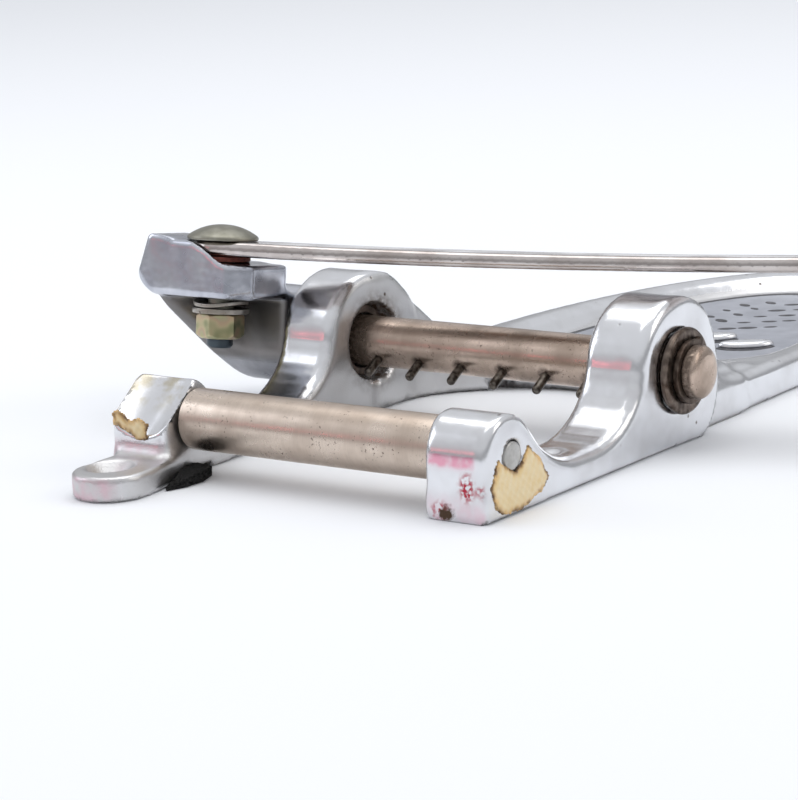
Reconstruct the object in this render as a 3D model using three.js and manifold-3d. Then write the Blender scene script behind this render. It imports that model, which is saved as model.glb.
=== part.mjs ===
// Rocking-shaft vibrato tailpiece for a six-string guitar: a horseshoe casting with a roller tension bar
// between two front posts, and a shaft with string pins that rocks in needle bearings between two towers.
// A bracket on the shaft's end carries the swivelling flat handle.
// Millimetres, +Z up, +Y towards the tail, +X towards the near (bass) side, flat underside at Z = 0.
import * as THREE from "three";
import { mergeVertices } from "three/addons/utils/BufferGeometryUtils.js";
import Module from "manifold-3d";

const wasm = await Module();
wasm.setup();

// ---------------------------------------------------------------- driving dimensions
const CLEARANCE = 0.15; // between pieces that touch on the real object

// The rocking shaft lies along X over Y = 0; the part's origin is SEAT_Y behind it, under the tail.
const SEAT_Y = 95;
const SHAFT_HEIGHT = 15.4;
const SHAFT_RADIUS = 5.4;
const SHAFT_END_RIGHT = 51.1;
const SHAFT_END_LEFT = -60.4;
const REST_TILT = 8; // degrees that the bracket leans back at rest

const STRING_PITCH = 10.5;
const STRING_COUNT = 6;
const PIN_RADIUS = 0.95;
const PIN_TIP = 10.3; // from the shaft's axis
const PIN_ROOT = 3.2;
const PIN_DROP = 39; // degrees below straight ahead, measured on the upright bracket

const TENSION_Y = -60.4;
const TENSION_HEIGHT = 11.1;
const TENSION_RADIUS = 6.15;
const TENSION_HALF_LENGTH = 30.1;
const AXLE_RADIUS = 2.8;
const AXLE_END = 44.6;
const BUSH_RADIUS = 3.9;
const BUSH_LENGTH = 7;

const LEG_INNER = 30.8;
const LEG_OUTER = 44.7;
// The casting's edge rounding, and the Y between which it holds: it shrinks towards the back.
const LEG_EDGES = [[1.3, -90, -50], [2.6, -51, 60], [1.7, -2, 60], [1, 4, 60], [0.5, 8, 60]];
const POST_FRONT = -70;
const POST_RADIUS = 8.1;
const POST_CENTRE_Y = POST_FRONT + POST_RADIUS;
const WEB_HEIGHT = 6.2;
const TOWER_RADIUS = 14.8;

const RIM_OUTER = 41.2;
const RIM_HEIGHT = 7.6;
const TAIL_CENTRE_Y = 50;
const TAIL_LENGTH = 99;
const WINDOW_END_Y = 33.5;
const PANEL_FLOOR = 3.6;
const PANEL_HALF_WIDTH = 29.5;
const PANEL_CENTRE_Y = 60;
const PANEL_LENGTH = 79;
const PANEL_FRONT_Y = 45;
const PANEL_SLOPE = 4.6; // width of the slope between the panel and the rim

const EAR_X = -34.8;
const EAR_Y = -81.5;
const EAR_RADIUS = 7.7;
const EAR_THICKNESS = 5;
const EAR_SCREW = { x: -37, y: -79.4, mouth: 4.7 };
const SCREW_RADIUS = 2.3;
const WEB_DISH = { x: 37.9, y: -37.5, depth: 0.9, radius: 2.9 };
const TAIL_SCREW_Y = 143.6;

const CUP = { outer: 7.6, inner: 6.9, start: 33.2, end: 43.6, lip: 5.9, lipThickness: 0.8 };
const NEEDLE = { count: 10, radius: 0.62, pitch: 6.14, start: 34.6, end: 42.4 };

const THRUST = { outer: 8.75, inner: 5.6, thickness: 1.5, farThickness: 0.9 };
const RING = { start: 46.75, thickness: 1.15, outer: 7.1, inner: 4.85 };

const HUB = { radius: 10.6, start: -46.3, end: -61 };
const BLOCK = { front: -26.5, rear: -10.5, left: -74.6, bottom: 8, step: 15.8, underHead: 20.2, wall: 21.4 };
const PIVOT_X = -57;
const PIVOT_Y = -19.5;
const BOLT_RADIUS = 2.8;
const BOLT_HEAD = { radius: 7.6, height: 3.3 };
const BOLT_END = -2.6;
const NUT = { acrossFlats: 9, bottom: -0.6, top: 4.6 };
const FLAT_WASHER = { radius: 6.1, bottom: 4.8, top: 5.9 };
const SPRING_WASHER = { radius: 5.9, bottom: 6.1, top: 6.9, rise: 0.8 };
const FIBRE_WASHER = { radius: 6, thickness: 1 };
const GRUB = { radius: 2.4, length: 4.2, key: 2.5, places: [-50.5, -56.5], lean: 20 };

const ARM = { thickness: 3.1, pivotRadius: 6, halfWidth: 6.9, paddle: 8.6, length: 181, bend: 2300 };
const ARM_SWING = 15; // degrees that the handle points behind +X at rest

const FELT = { thickness: 1.2, halfWidth: 5.3, front: -68.2, rear: -55.5 };

// ---------------------------------------------------------------- solids
const rad = THREE.MathUtils.degToRad;

function solid(geometry) {
  const loose = geometry.index ? geometry.toNonIndexed() : geometry;
  const bare = new THREE.BufferGeometry().setAttribute("position", loose.getAttribute("position"));
  const merged = mergeVertices(bare, 1e-4);
  const corners = merged.index.array;
  const faces = [];
  for (let i = 0; i < corners.length; i += 3) {
    const [a, b, c] = corners.subarray(i, i + 3);
    if (a !== b && b !== c && c !== a) faces.push([a, b, c]);
  }
  const build = (list) =>
    new wasm.Manifold(
      new wasm.Mesh({
        numProp: 3,
        vertProperties: new Float32Array(merged.attributes.position.array),
        triVerts: new Uint32Array(list.flat()),
      }),
    );
  const made = build(faces);
  return made.volume() < 0 ? build(faces.map(([a, b, c]) => [a, c, b])) : made;
}

function geometryOf(body) {
  const mesh = body.getMesh();
  const positions = new Float32Array(mesh.numVert * 3);
  for (let i = 0; i < mesh.numVert; i++) {
    positions.set(mesh.vertProperties.subarray(i * mesh.numProp, i * mesh.numProp + 3), i * 3);
  }
  const geometry = new THREE.BufferGeometry();
  geometry.setAttribute("position", new THREE.BufferAttribute(positions, 3));
  geometry.setIndex(new THREE.BufferAttribute(new Uint32Array(mesh.triVerts), 1));
  geometry.computeVertexNormals();
  return geometry;
}

const join = (...bodies) => bodies.reduce((sum, body) => sum.add(body));
const cut = (body, ...tools) => tools.reduce((left, tool) => left.subtract(tool), body);

// An outline pushed from low to high, with its edges rounded inside the outline.
function extrusion(shape, low, high, edge = 0, curveSegments = 8) {
  const geometry = new THREE.ExtrudeGeometry(shape, {
    depth: high - low - 2 * edge,
    curveSegments,
    bevelEnabled: edge > 0,
    bevelThickness: edge,
    bevelSize: edge,
    bevelOffset: -edge,
    bevelSegments: 2,
  });
  return geometry.translate(0, 0, low + edge);
}

const AXES = {
  X: new THREE.Matrix4().makeBasis(vector(0, 1, 0), vector(0, 0, 1), vector(1, 0, 0)),
  Y: new THREE.Matrix4().makeBasis(vector(0, 0, 1), vector(1, 0, 0), vector(0, 1, 0)),
  Z: new THREE.Matrix4(),
};

function vector(x, y, z) {
  return new THREE.Vector3(x, y, z);
}

// An outline drawn in (Y, Z) along X, in (Z, X) along Y, or in (X, Y) along Z.
function prism(axis, shape, low, high, edge, curveSegments) {
  return solid(extrusion(shape, low, high, edge, curveSegments).applyMatrix4(AXES[axis]));
}

// A profile of [radius, place] pairs turned about an axis through the given point.
function turned(axis, profile, centre = [0, 0, 0], segments = 32) {
  const points = profile.map(([radius, place]) => new THREE.Vector2(radius, place));
  const geometry = new THREE.LatheGeometry(points, segments).rotateX(Math.PI / 2);
  return solid(geometry.applyMatrix4(AXES[axis]).translate(...centre));
}

function rod(axis, radius, low, high, centre, segments, chamfer = 0) {
  const profile = [[0, low], [radius - chamfer, low], [radius, low + chamfer]];
  profile.push([radius, high - chamfer], [radius - chamfer, high], [0, high]);
  return turned(axis, profile, centre, segments);
}

function tube(axis, outer, inner, low, high, centre, segments) {
  const profile = [[inner, low], [outer, low], [outer, high], [inner, high], [inner, low]];
  return turned(axis, profile, centre, segments);
}

function box(x0, x1, y0, y1, z0, z1) {
  const geometry = new THREE.BoxGeometry(x1 - x0, y1 - y0, z1 - z0);
  return solid(geometry.translate((x0 + x1) / 2, (y0 + y1) / 2, (z0 + z1) / 2));
}

function mirrored(body) {
  return solid(geometryOf(body).scale(-1, 1, 1));
}

function turnedBy(body, axis, degrees) {
  const turn = new THREE.Matrix4().makeRotationAxis(axis, rad(degrees));
  return solid(geometryOf(body).applyMatrix4(turn));
}

function outline(points) {
  return new THREE.Shape(points.map(([x, y]) => new THREE.Vector2(x, y)));
}

// ---------------------------------------------------------------- materials
function finish(color, roughness, metalness) {
  return new THREE.MeshStandardMaterial({ color, roughness, metalness });
}

const POLISHED_ALUMINIUM = [0xc9cbd0, 0.22, 1];
const BRUSHED_NICKEL = [0xa39a8c, 0.35, 1];
const BRIGHT_STEEL = [0xb4b2ae, 0.3, 1];
const DARK_STEEL = [0x4a4440, 0.5, 1];
const RUSTY_STEEL = [0x5e4a3c, 0.6, 1];
const ZINC_YELLOW = [0xb9a468, 0.4, 1];
const DOMED_NICKEL = [0x8f8d80, 0.4, 1];
const BRONZE = [0x8c6b3f, 0.5, 1];
const RED_FIBRE = [0x6b3026, 0.8, 0];
const BLACK_FELT = [0x171513, 0.95, 0];

// ---------------------------------------------------------------- the tree of parts
const tailpiece = new THREE.Group();
tailpiece.position.y = -SEAT_Y;

const rocker = new THREE.Group();
rocker.position.z = SHAFT_HEIGHT;
rocker.rotation.x = rad(-REST_TILT);
tailpiece.add(rocker);

function place(parent, name, body, look) {
  const mesh = new THREE.Mesh(geometryOf(body), finish(...look));
  mesh.name = name;
  parent.add(mesh);
}

// ---------------------------------------------------------------- frame casting
// Side view of one leg: post, thin web and bearing tower, in (Y, Z).
function legSide() {
  const side = new THREE.Shape();
  side.moveTo(POST_FRONT, 0);
  side.lineTo(POST_FRONT, TENSION_HEIGHT);
  side.absarc(POST_CENTRE_Y, TENSION_HEIGHT, POST_RADIUS, Math.PI, rad(50), true);
  side.bezierCurveTo(-51.6, 12.7, -46.5, WEB_HEIGHT, -37, WEB_HEIGHT);
  side.lineTo(-33, WEB_HEIGHT);
  side.bezierCurveTo(-24, WEB_HEIGHT, -16.4, 11, -14.7, 17.6);
  side.absarc(0, SHAFT_HEIGHT, TOWER_RADIUS, rad(171), rad(10), true);
  side.bezierCurveTo(16.6, 12, 15.6, 3, 9, 0);
  side.closePath();
  return side;
}

// The rib that runs from the back of a tower down to the rim.
function ribSide() {
  const side = new THREE.Shape();
  side.moveTo(0, 0);
  side.lineTo(0, 28);
  side.lineTo(6.5, 28.2);
  side.quadraticCurveTo(12, 23.9, 18, 19.8);
  side.bezierCurveTo(24, 15.6, 29, 9.6, 42, RIM_HEIGHT);
  side.lineTo(42, 2);
  side.lineTo(42, 0);
  side.closePath();
  return side;
}

// The lower fillet beside the rib, at the foot of the tower.
function footSide() {
  const side = new THREE.Shape();
  side.moveTo(0, 0);
  side.lineTo(0, 22);
  side.lineTo(12, 22);
  side.bezierCurveTo(15, 17, 17, 9, 32, RIM_HEIGHT);
  side.lineTo(34, 2);
  side.lineTo(34, 0);
  side.closePath();
  return side;
}

function horseshoeOutline() {
  const end = TAIL_CENTRE_Y;
  const plan = new THREE.Shape();
  plan.moveTo(RIM_OUTER, 0);
  plan.lineTo(RIM_OUTER, 30);
  plan.absellipse(0, end, RIM_OUTER - 0.6, TAIL_LENGTH, 0, Math.PI, false, 0);
  plan.lineTo(-RIM_OUTER, 30);
  plan.lineTo(-RIM_OUTER, 0);
  plan.lineTo(-LEG_INNER, 0);
  plan.lineTo(-LEG_INNER, 8);
  plan.bezierCurveTo(-LEG_INNER, 22, -14, WINDOW_END_Y, 0, WINDOW_END_Y);
  plan.bezierCurveTo(14, WINDOW_END_Y, LEG_INNER, 22, LEG_INNER, 8);
  plan.lineTo(LEG_INNER, 0);
  plan.closePath();
  return plan;
}

function panelOutline() {
  const width = PANEL_HALF_WIDTH;
  const plan = new THREE.Shape();
  plan.moveTo(width, PANEL_CENTRE_Y);
  plan.absellipse(0, PANEL_CENTRE_Y, width, PANEL_LENGTH, 0, Math.PI, false, 0);
  plan.bezierCurveTo(-width, 48, -18, PANEL_FRONT_Y, 0, PANEL_FRONT_Y);
  plan.bezierCurveTo(18, PANEL_FRONT_Y, width, 48, width, PANEL_CENTRE_Y);
  return plan;
}

// A tongue with a round tip ahead of the left post.
function earOutline() {
  const plan = new THREE.Shape();
  plan.moveTo(EAR_X - EAR_RADIUS, -62);
  plan.lineTo(EAR_X - EAR_RADIUS, EAR_Y);
  plan.absarc(EAR_X, EAR_Y, EAR_RADIUS, Math.PI, 2 * Math.PI, false);
  plan.bezierCurveTo(EAR_X + EAR_RADIUS, -76, -28.6, -70, -LEG_INNER - 0.4, -64);
  plan.closePath();
  return plan;
}

function earFillet() {
  const side = new THREE.Shape();
  side.moveTo(POST_FRONT + 3, 1);
  side.lineTo(POST_FRONT + 3, 12);
  side.lineTo(POST_FRONT, 11);
  side.quadraticCurveTo(POST_FRONT - 0.4, EAR_THICKNESS - 0.3, POST_FRONT - 6, EAR_THICKNESS - 0.3);
  side.lineTo(POST_FRONT - 6, 1);
  side.closePath();
  return side;
}

// A screw hole straight down, with a conical mouth at the given height.
function countersink(x, y, top, radius, mouth) {
  const cone = mouth - radius;
  const profile = [[0, -1], [radius, -1], [radius, top - cone], [mouth, top], [mouth, top + 9], [0, top + 9]];
  return turned("Z", profile, [x, y, 0], 20);
}

// A shallow round dish in a level face.
function shallowDish(x, y, top, radius, depth) {
  const profile = [[0, top - depth], [radius * 0.4, top - depth * 0.85], [radius * 0.75, top - depth * 0.45]];
  profile.push([radius, top], [radius + 0.3, top + 3], [0, top + 3]);
  return turned("Z", profile, [x, y, 0], 24);
}

// The sunken panel's hollow: its walls slope outwards up to the rim.
function makePanelHollow() {
  const rise = RIM_HEIGHT - PANEL_FLOOR;
  const hollow = new THREE.ExtrudeGeometry(panelOutline(), {
    depth: 9,
    curveSegments: 12,
    bevelThickness: rise,
    bevelSize: PANEL_SLOPE,
    bevelSegments: 1,
  });
  return solid(hollow.translate(0, 0, RIM_HEIGHT));
}

// The plate's front edge is undercut where it closes the window.
function makeWindowRelief() {
  const [near, far] = [WINDOW_END_Y - 6, WINDOW_END_Y + 3.5];
  const side = outline([[near, -2], [far, -2], [far, 0], [near, 4.2]]);
  return prism("X", side, -24, 24, 0);
}

function makeFrame() {
  const legs = LEG_EDGES.map(([edge, from, to]) =>
    prism("X", legSide(), LEG_INNER, LEG_OUTER, edge, 6).intersect(box(0, 60, from, to, -1, 60)),
  );
  const rightLeg = join(
    ...legs,
    prism("X", ribSide(), LEG_INNER + 0.3, LEG_INNER + 5.4, 1.4, 6),
    prism("X", footSide(), LEG_INNER + 0.8, RIM_OUTER - 0.3, 1.5, 5),
  );
  const plate = prism("Z", horseshoeOutline(), 0, RIM_HEIGHT, 1.8, 12);
  const ear = join(
    prism("Z", earOutline(), 0, EAR_THICKNESS, 0.8, 8),
    prism("X", earFillet(), EAR_X - EAR_RADIUS + 1, -32.5, 0, 6),
  );
  const whole = join(rightLeg, mirrored(rightLeg), plate, ear);
  const casting = cut(whole, makePanelHollow(), makeWindowRelief());

  const shaftAt = [0, 0, SHAFT_HEIGHT];
  const tensionAt = [0, TENSION_Y, TENSION_HEIGHT];
  const bearingBore = rod("X", CUP.outer + CLEARANCE, -50, 50, shaftAt, 32);
  const mouth = rod("X", CUP.outer + 0.7, -LEG_INNER - 1.6, LEG_INNER + 1.6, shaftAt, 32);
  const axleBore = rod("X", AXLE_RADIUS + 0.3, -50, 50, tensionAt, 20);
  const [feltRear, feltTop] = [FELT.rear + 0.3, FELT.thickness + CLEARANCE];
  const holes = [countersink(EAR_SCREW.x, EAR_SCREW.y, EAR_THICKNESS, SCREW_RADIUS, EAR_SCREW.mouth)];
  holes.push(countersink(0, TAIL_SCREW_Y, RIM_HEIGHT, SCREW_RADIUS, 4));
  for (const side of [-1, 1]) {
    const middle = (side * (LEG_INNER + LEG_OUTER)) / 2;
    const reach = FELT.halfWidth + 0.3;
    holes.push(shallowDish(side * WEB_DISH.x, WEB_DISH.y, WEB_HEIGHT, WEB_DISH.radius, WEB_DISH.depth));
    holes.push(box(middle - reach, middle + reach, FELT.front - 0.3, feltRear, -1, feltTop));
  }
  holes.push(box(-36, -20, -66.3, feltRear, -1, feltTop));
  return cut(casting, bearingBore, mouth, axleBore, ...holes);
}

place(tailpiece, "frame", makeFrame(), POLISHED_ALUMINIUM);

// ---------------------------------------------------------------- felt pads under the posts
function makeFelt(side) {
  const middle = (side * (LEG_INNER + LEG_OUTER)) / 2;
  const plan = outline([
    [middle - FELT.halfWidth, FELT.front],
    [middle + FELT.halfWidth, FELT.front],
    [middle + FELT.halfWidth, FELT.rear],
    [middle - FELT.halfWidth, FELT.rear],
  ]);
  return prism("Z", plan, 0, FELT.thickness, 0);
}

// The left pad has crept inwards, and its free end has swollen into a lip beside the post.
function makeCreptFelt() {
  const inner = [[-30.2, -56], [-30.2, -65.5], [-28, -70.3], [-26.8, -75.4]];
  const lip = outline([...inner, [-25.4, -74.6], [-23.8, -70], [-23.5, -65], [-24.2, -60], [-26, -56]]);
  const tongue = box(-34, -29, -66, -56, 0, FELT.thickness);
  return join(makeFelt(-1), tongue, prism("Z", lip, 0, 2.4, 0.5));
}

place(tailpiece, "felt_pad_right", makeFelt(1), BLACK_FELT);
place(tailpiece, "felt_pad_left", makeCreptFelt(), BLACK_FELT);

// ---------------------------------------------------------------- tension bar, bushes and axle
const tensionCentre = [0, TENSION_Y, TENSION_HEIGHT];
const barEnd = TENSION_HALF_LENGTH;

function makeTensionBar() {
  const bore = BUSH_RADIUS + 0.05;
  const neck = AXLE_RADIUS + 0.6;
  const step = barEnd - BUSH_LENGTH;
  const profile = [[bore, -barEnd], [TENSION_RADIUS - 0.4, -barEnd], [TENSION_RADIUS, -barEnd + 0.4]];
  profile.push([TENSION_RADIUS, barEnd - 0.4], [TENSION_RADIUS - 0.4, barEnd], [bore, barEnd]);
  profile.push([bore, step], [neck, step], [neck, -step], [bore, -step], [bore, -barEnd]);
  return turned("X", profile, tensionCentre, 32);
}

place(tailpiece, "tension_bar", makeTensionBar(), BRUSHED_NICKEL);
for (const [name, low] of [["left", -barEnd + 0.1], ["right", barEnd - BUSH_LENGTH + 0.1]]) {
  const bush = tube("X", BUSH_RADIUS, AXLE_RADIUS + 0.06, low, low + BUSH_LENGTH - 0.2, tensionCentre, 24);
  place(tailpiece, "tension_bush_" + name, bush, BRONZE);
}
const axle = rod("X", AXLE_RADIUS, -AXLE_END, AXLE_END, tensionCentre, 24, 0.3);
place(tailpiece, "tension_axle", axle, BRIGHT_STEEL);

// ---------------------------------------------------------------- needle bearings in the towers
// A drawn cup: a thin shell with an inturned lip at each end.
function makeCup() {
  const { outer, inner, start, end, lip, lipThickness } = CUP;
  const profile = [[lip, start], [outer, start], [outer, end], [lip, end], [lip, end - lipThickness]];
  profile.push([inner, end - lipThickness], [inner, start + lipThickness]);
  profile.push([lip, start + lipThickness], [lip, start]);
  return turned("X", profile, [0, 0, SHAFT_HEIGHT], 32);
}

function makeCage() {
  const { count, radius, pitch, start, end } = NEEDLE;
  const rings = [start, end - 1.2].map((x) =>
    tube("X", pitch + 0.35, pitch - 0.35, x, x + 1.2, [0, 0, SHAFT_HEIGHT], 20),
  );
  const needles = Array.from({ length: count }, (_, i) => {
    const angle = (2 * Math.PI * i) / count;
    const centre = [0, pitch * Math.cos(angle), SHAFT_HEIGHT + pitch * Math.sin(angle)];
    return rod("X", radius, start + 0.2, end - 0.2, centre, 6);
  });
  return join(...rings, ...needles);
}

const cup = makeCup();
const cage = makeCage();
place(tailpiece, "bearing_cup_right", cup, RUSTY_STEEL);
place(tailpiece, "bearing_cup_left", mirrored(cup), RUSTY_STEEL);
place(tailpiece, "needle_cage_right", cage, BRIGHT_STEEL);
place(tailpiece, "needle_cage_left", mirrored(cage), BRIGHT_STEEL);

// ---------------------------------------------------------------- rocking shaft, pins, washers and ring
const pinAim = [-Math.cos(rad(PIN_DROP)), -Math.sin(rad(PIN_DROP))];
const firstPin = (-(STRING_COUNT - 1) / 2) * STRING_PITCH;
const pinPlaces = Array.from({ length: STRING_COUNT }, (_, i) => firstPin + i * STRING_PITCH);

// A rod square to the shaft, pointing forwards and down, between two distances from its axis.
function pinRod(x, radius, from, to, chamfer) {
  const upright = rod("Z", radius, from, to, [0, 0, 0], 10, chamfer);
  const aim = new THREE.Quaternion().setFromUnitVectors(vector(0, 0, 1), vector(0, ...pinAim));
  return solid(geometryOf(upright).applyQuaternion(aim).translate(x, 0, 0));
}

function makeShaft() {
  const end = SHAFT_END_RIGHT;
  const neck = RING.inner - 0.15;
  const grooveStart = RING.start - 0.1;
  const grooveEnd = RING.start + RING.thickness + 0.1;
  const [r, start] = [SHAFT_RADIUS, SHAFT_END_LEFT];
  const profile = [[0, start], [r - 0.5, start], [r, start + 0.5]];
  profile.push([r, grooveStart], [neck, grooveStart], [neck, grooveEnd], [r, grooveEnd]);
  profile.push([r, end - 0.6], [r - 0.6, end - 0.15], [r - 1.4, end], [0, end]);
  const sockets = pinPlaces.map((x) => pinRod(x, PIN_RADIUS + 0.05, PIN_ROOT - 0.1, PIN_TIP, 0));
  return cut(turned("X", profile, [0, 0, 0], 30), ...sockets);
}

// A circlip: an open ring with two lugs at its gap.
function makeRing() {
  const gap = rad(14);
  const middle = rad(-38);
  const ring = new THREE.Shape();
  ring.absarc(0, 0, RING.outer - 0.6, middle + gap, middle - gap + 2 * Math.PI, false);
  ring.absarc(0, 0, RING.inner, middle - gap + 2 * Math.PI, middle + gap, true);
  ring.closePath();
  const lugs = [-1, 1].map((side) => {
    const angle = middle + side * (gap + rad(9));
    const lug = new THREE.Shape();
    const reach = RING.outer - 0.9;
    lug.absarc(reach * Math.cos(angle), reach * Math.sin(angle), 1.15, 0, 2 * Math.PI, false);
    return prism("X", lug, RING.start, RING.start + RING.thickness, 0, 6);
  });
  const flat = join(prism("X", ring, RING.start, RING.start + RING.thickness, 0, 20), ...lugs);
  return turnedBy(flat, vector(1, 0, 0), 85);
}

place(rocker, "main_shaft", makeShaft(), BRUSHED_NICKEL);
pinPlaces.forEach((x, i) => {
  place(rocker, "string_pin_" + (i + 1), pinRod(x, PIN_RADIUS, PIN_ROOT, PIN_TIP, 0.3), DARK_STEEL);
});
const rightWasher = LEG_OUTER + 0.3;
const leftWasher = -LEG_OUTER - 1.2;
function makeThrustWasher(start, thickness) {
  return tube("X", THRUST.outer, THRUST.inner, start, start + thickness, [0, 0, 0], 32);
}

place(rocker, "thrust_washer_right", makeThrustWasher(rightWasher, THRUST.thickness), RUSTY_STEEL);
place(rocker, "thrust_washer_left", makeThrustWasher(leftWasher, THRUST.farThickness), RUSTY_STEEL);
place(rocker, "retaining_ring", makeRing(), RUSTY_STEEL);

// ---------------------------------------------------------------- handle bracket
// Front view in (Z, X): the block at the top narrows down to the hub on the shaft.
function bracketFront() {
  const { left, bottom, wall } = BLOCK;
  const front = new THREE.Shape();
  front.moveTo(-HUB.radius - 1, HUB.start);
  front.lineTo(wall + 1, HUB.start);
  front.lineTo(wall + 1, left + 3.4);
  front.lineTo(wall - 1, left + 2.4);
  front.lineTo(bottom + 5, left);
  front.quadraticCurveTo(bottom + 1.4, left, bottom - 0.2, left + 5);
  front.lineTo(-4, left + 8.2);
  front.quadraticCurveTo(-9, left + 10.4, -HUB.radius - 1, HUB.end);
  front.closePath();
  return front;
}

// Side view in (Y, Z): the block's underside slopes back to the hub, and the neck behind it is hollowed.
function bracketSide() {
  const { front, rear, bottom, wall } = BLOCK;
  const side = new THREE.Shape();
  side.moveTo(front, bottom);
  side.lineTo(front, wall);
  side.lineTo(rear, wall);
  side.lineTo(rear, bottom + 3.5);
  side.quadraticCurveTo(rear + 0.4, bottom + 1.2, -5.3, 9.2);
  side.absarc(0, 0, HUB.radius, rad(120), rad(-128), true);
  side.closePath();
  return side;
}

// A pocket for the nut, open to the front and the right; its left wall runs back to the hub.
function nutPocket() {
  const { front, bottom, left } = BLOCK;
  const plan = new THREE.Shape();
  plan.moveTo(-40, front - 6);
  plan.lineTo(left + 2.2, front - 6);
  plan.lineTo(left + 5, front);
  plan.lineTo(PIVOT_X - 4.1, -14);
  plan.quadraticCurveTo(PIVOT_X - 2, -10.9, PIVOT_X + 3, -10.9);
  plan.lineTo(-40, -10.9);
  plan.closePath();
  return prism("Z", plan, -20, bottom, 0, 6);
}

// Everything above the step, except the wall round the handle's end.
function stepRelief() {
  const reach = ARM.pivotRadius + 0.35;
  const swept = new THREE.Shape();
  swept.moveTo(PIVOT_X, PIVOT_Y - reach);
  swept.lineTo(-40, PIVOT_Y - reach);
  swept.lineTo(-40, 20);
  swept.lineTo(-80, 20);
  swept.lineTo(-80, -14.5);
  swept.lineTo(PIVOT_X - reach - 0.8, -14.5);
  swept.lineTo(PIVOT_X - reach, PIVOT_Y);
  swept.absarc(PIVOT_X, PIVOT_Y, reach, Math.PI, 1.5 * Math.PI, false);
  return prism("Z", swept, BLOCK.step, BLOCK.wall + 9, 0, 8);
}

// The wall's top falls to the step in an S towards the handle.
function wallFall() {
  const { step, wall, underHead, front } = BLOCK;
  const fall = new THREE.Shape();
  fall.moveTo(wall + 9, -40);
  fall.lineTo(step, -40);
  fall.lineTo(step, -48.6);
  fall.bezierCurveTo(step + 0.2, -53.8, underHead - 1.2, -54.4, underHead, -59.5);
  fall.lineTo(underHead, -65);
  fall.quadraticCurveTo(wall - 0.2, -67, wall, -72);
  fall.lineTo(wall + 9, -80);
  fall.closePath();
  return prism("Y", fall, front - 4, 0, 0, 8);
}

// The block's front right corner is rounded.
function cornerRelief() {
  const { front } = BLOCK;
  const round = 2.6;
  const corner = new THREE.Shape();
  corner.moveTo(HUB.start - round, front);
  corner.quadraticCurveTo(HUB.start, front, HUB.start, front + round);
  corner.lineTo(HUB.start + 2, front + round);
  corner.lineTo(HUB.start + 2, front - 2);
  corner.lineTo(HUB.start - round, front - 2);
  corner.closePath();
  return prism("Z", corner, BLOCK.bottom - 2, BLOCK.wall + 9, 0, 5);
}

function makeBracket() {
  const fromFront = prism("Y", bracketFront(), -32, 14, 0, 8);
  const body = fromFront.intersect(prism("X", bracketSide(), -80, -40, 0, 12));
  const bore = rod("X", SHAFT_RADIUS + 0.1, -80, -40, [0, 0, 0], 32);
  const boltHole = rod("Z", BOLT_RADIUS + 0.2, -20, 40, [PIVOT_X, PIVOT_Y, 0], 20);
  const grubs = GRUB.places.map((x) => grubRod(x, GRUB.radius + 0.1, SHAFT_RADIUS - 0.2, 20));
  return cut(body, nutPocket(), stepRelief(), wallFall(), cornerRelief(), bore, boltHole, ...grubs);
}

// A rod square to the shaft towards the rear, between two distances from its axis.
function grubRod(x, radius, from, to) {
  const upright = rod("Z", radius, from, to, [0, 0, 0], 16);
  return solid(geometryOf(upright).rotateX(rad(-90 - GRUB.lean)).translate(x, 0, 0));
}

function makeGrub(x) {
  const start = SHAFT_RADIUS + 0.15;
  const end = start + GRUB.length;
  const key = new THREE.CylinderGeometry(GRUB.key / Math.sqrt(3), GRUB.key / Math.sqrt(3), 4, 6);
  key.rotateX(Math.PI / 2).translate(0, 0, end);
  const socket = solid(key.rotateX(rad(-90 - GRUB.lean)).translate(x, 0, 0));
  return cut(grubRod(x, GRUB.radius, start, end), socket);
}

place(rocker, "arm_bracket", makeBracket(), POLISHED_ALUMINIUM);
GRUB.places.forEach((x, i) => place(rocker, "bracket_screw_" + (i + 1), makeGrub(x), DARK_STEEL));

// ---------------------------------------------------------------- handle and its pivot
const pivot = new THREE.Group();
pivot.position.set(PIVOT_X, PIVOT_Y, 0);
rocker.add(pivot);

const armBottom = BLOCK.step + FIBRE_WASHER.thickness + 0.3;
const armTop = armBottom + ARM.thickness;

function makeBolt() {
  const { radius, height } = BOLT_HEAD;
  const base = armTop + CLEARANCE;
  const rise = height - 0.7;
  const shares = [0.97, 0.86, 0.68, 0.45, 0.2];
  const dome = shares.map((share) => [radius * share, base + height - rise * share * share]);
  const profile = [[0, BOLT_END], [BOLT_RADIUS - 0.6, BOLT_END], [BOLT_RADIUS, BOLT_END + 0.6]];
  profile.push([BOLT_RADIUS, base]);
  profile.push([radius - 0.2, base], [radius, base + 0.3], ...dome, [0, base + height]);
  return turned("Z", profile, [0, 0, 0], 24);
}

function makeNut() {
  const corner = NUT.acrossFlats / Math.sqrt(3);
  const hex = new THREE.CylinderGeometry(corner, corner, NUT.top - NUT.bottom, 6).rotateX(Math.PI / 2);
  const blank = solid(hex.translate(0, 0, (NUT.top + NUT.bottom) / 2).rotateZ(rad(12)));
  const crown = [[0, NUT.bottom], [corner - 1, NUT.bottom], [corner, NUT.bottom + 0.8]];
  crown.push([corner, NUT.top - 0.4], [corner - 0.5, NUT.top], [0, NUT.top]);
  const rounded = blank.intersect(turned("Z", crown, [0, 0, 0], 24));
  return cut(rounded, rod("Z", BOLT_RADIUS + 0.08, -20, 20, [0, 0, 0], 32));
}

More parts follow.
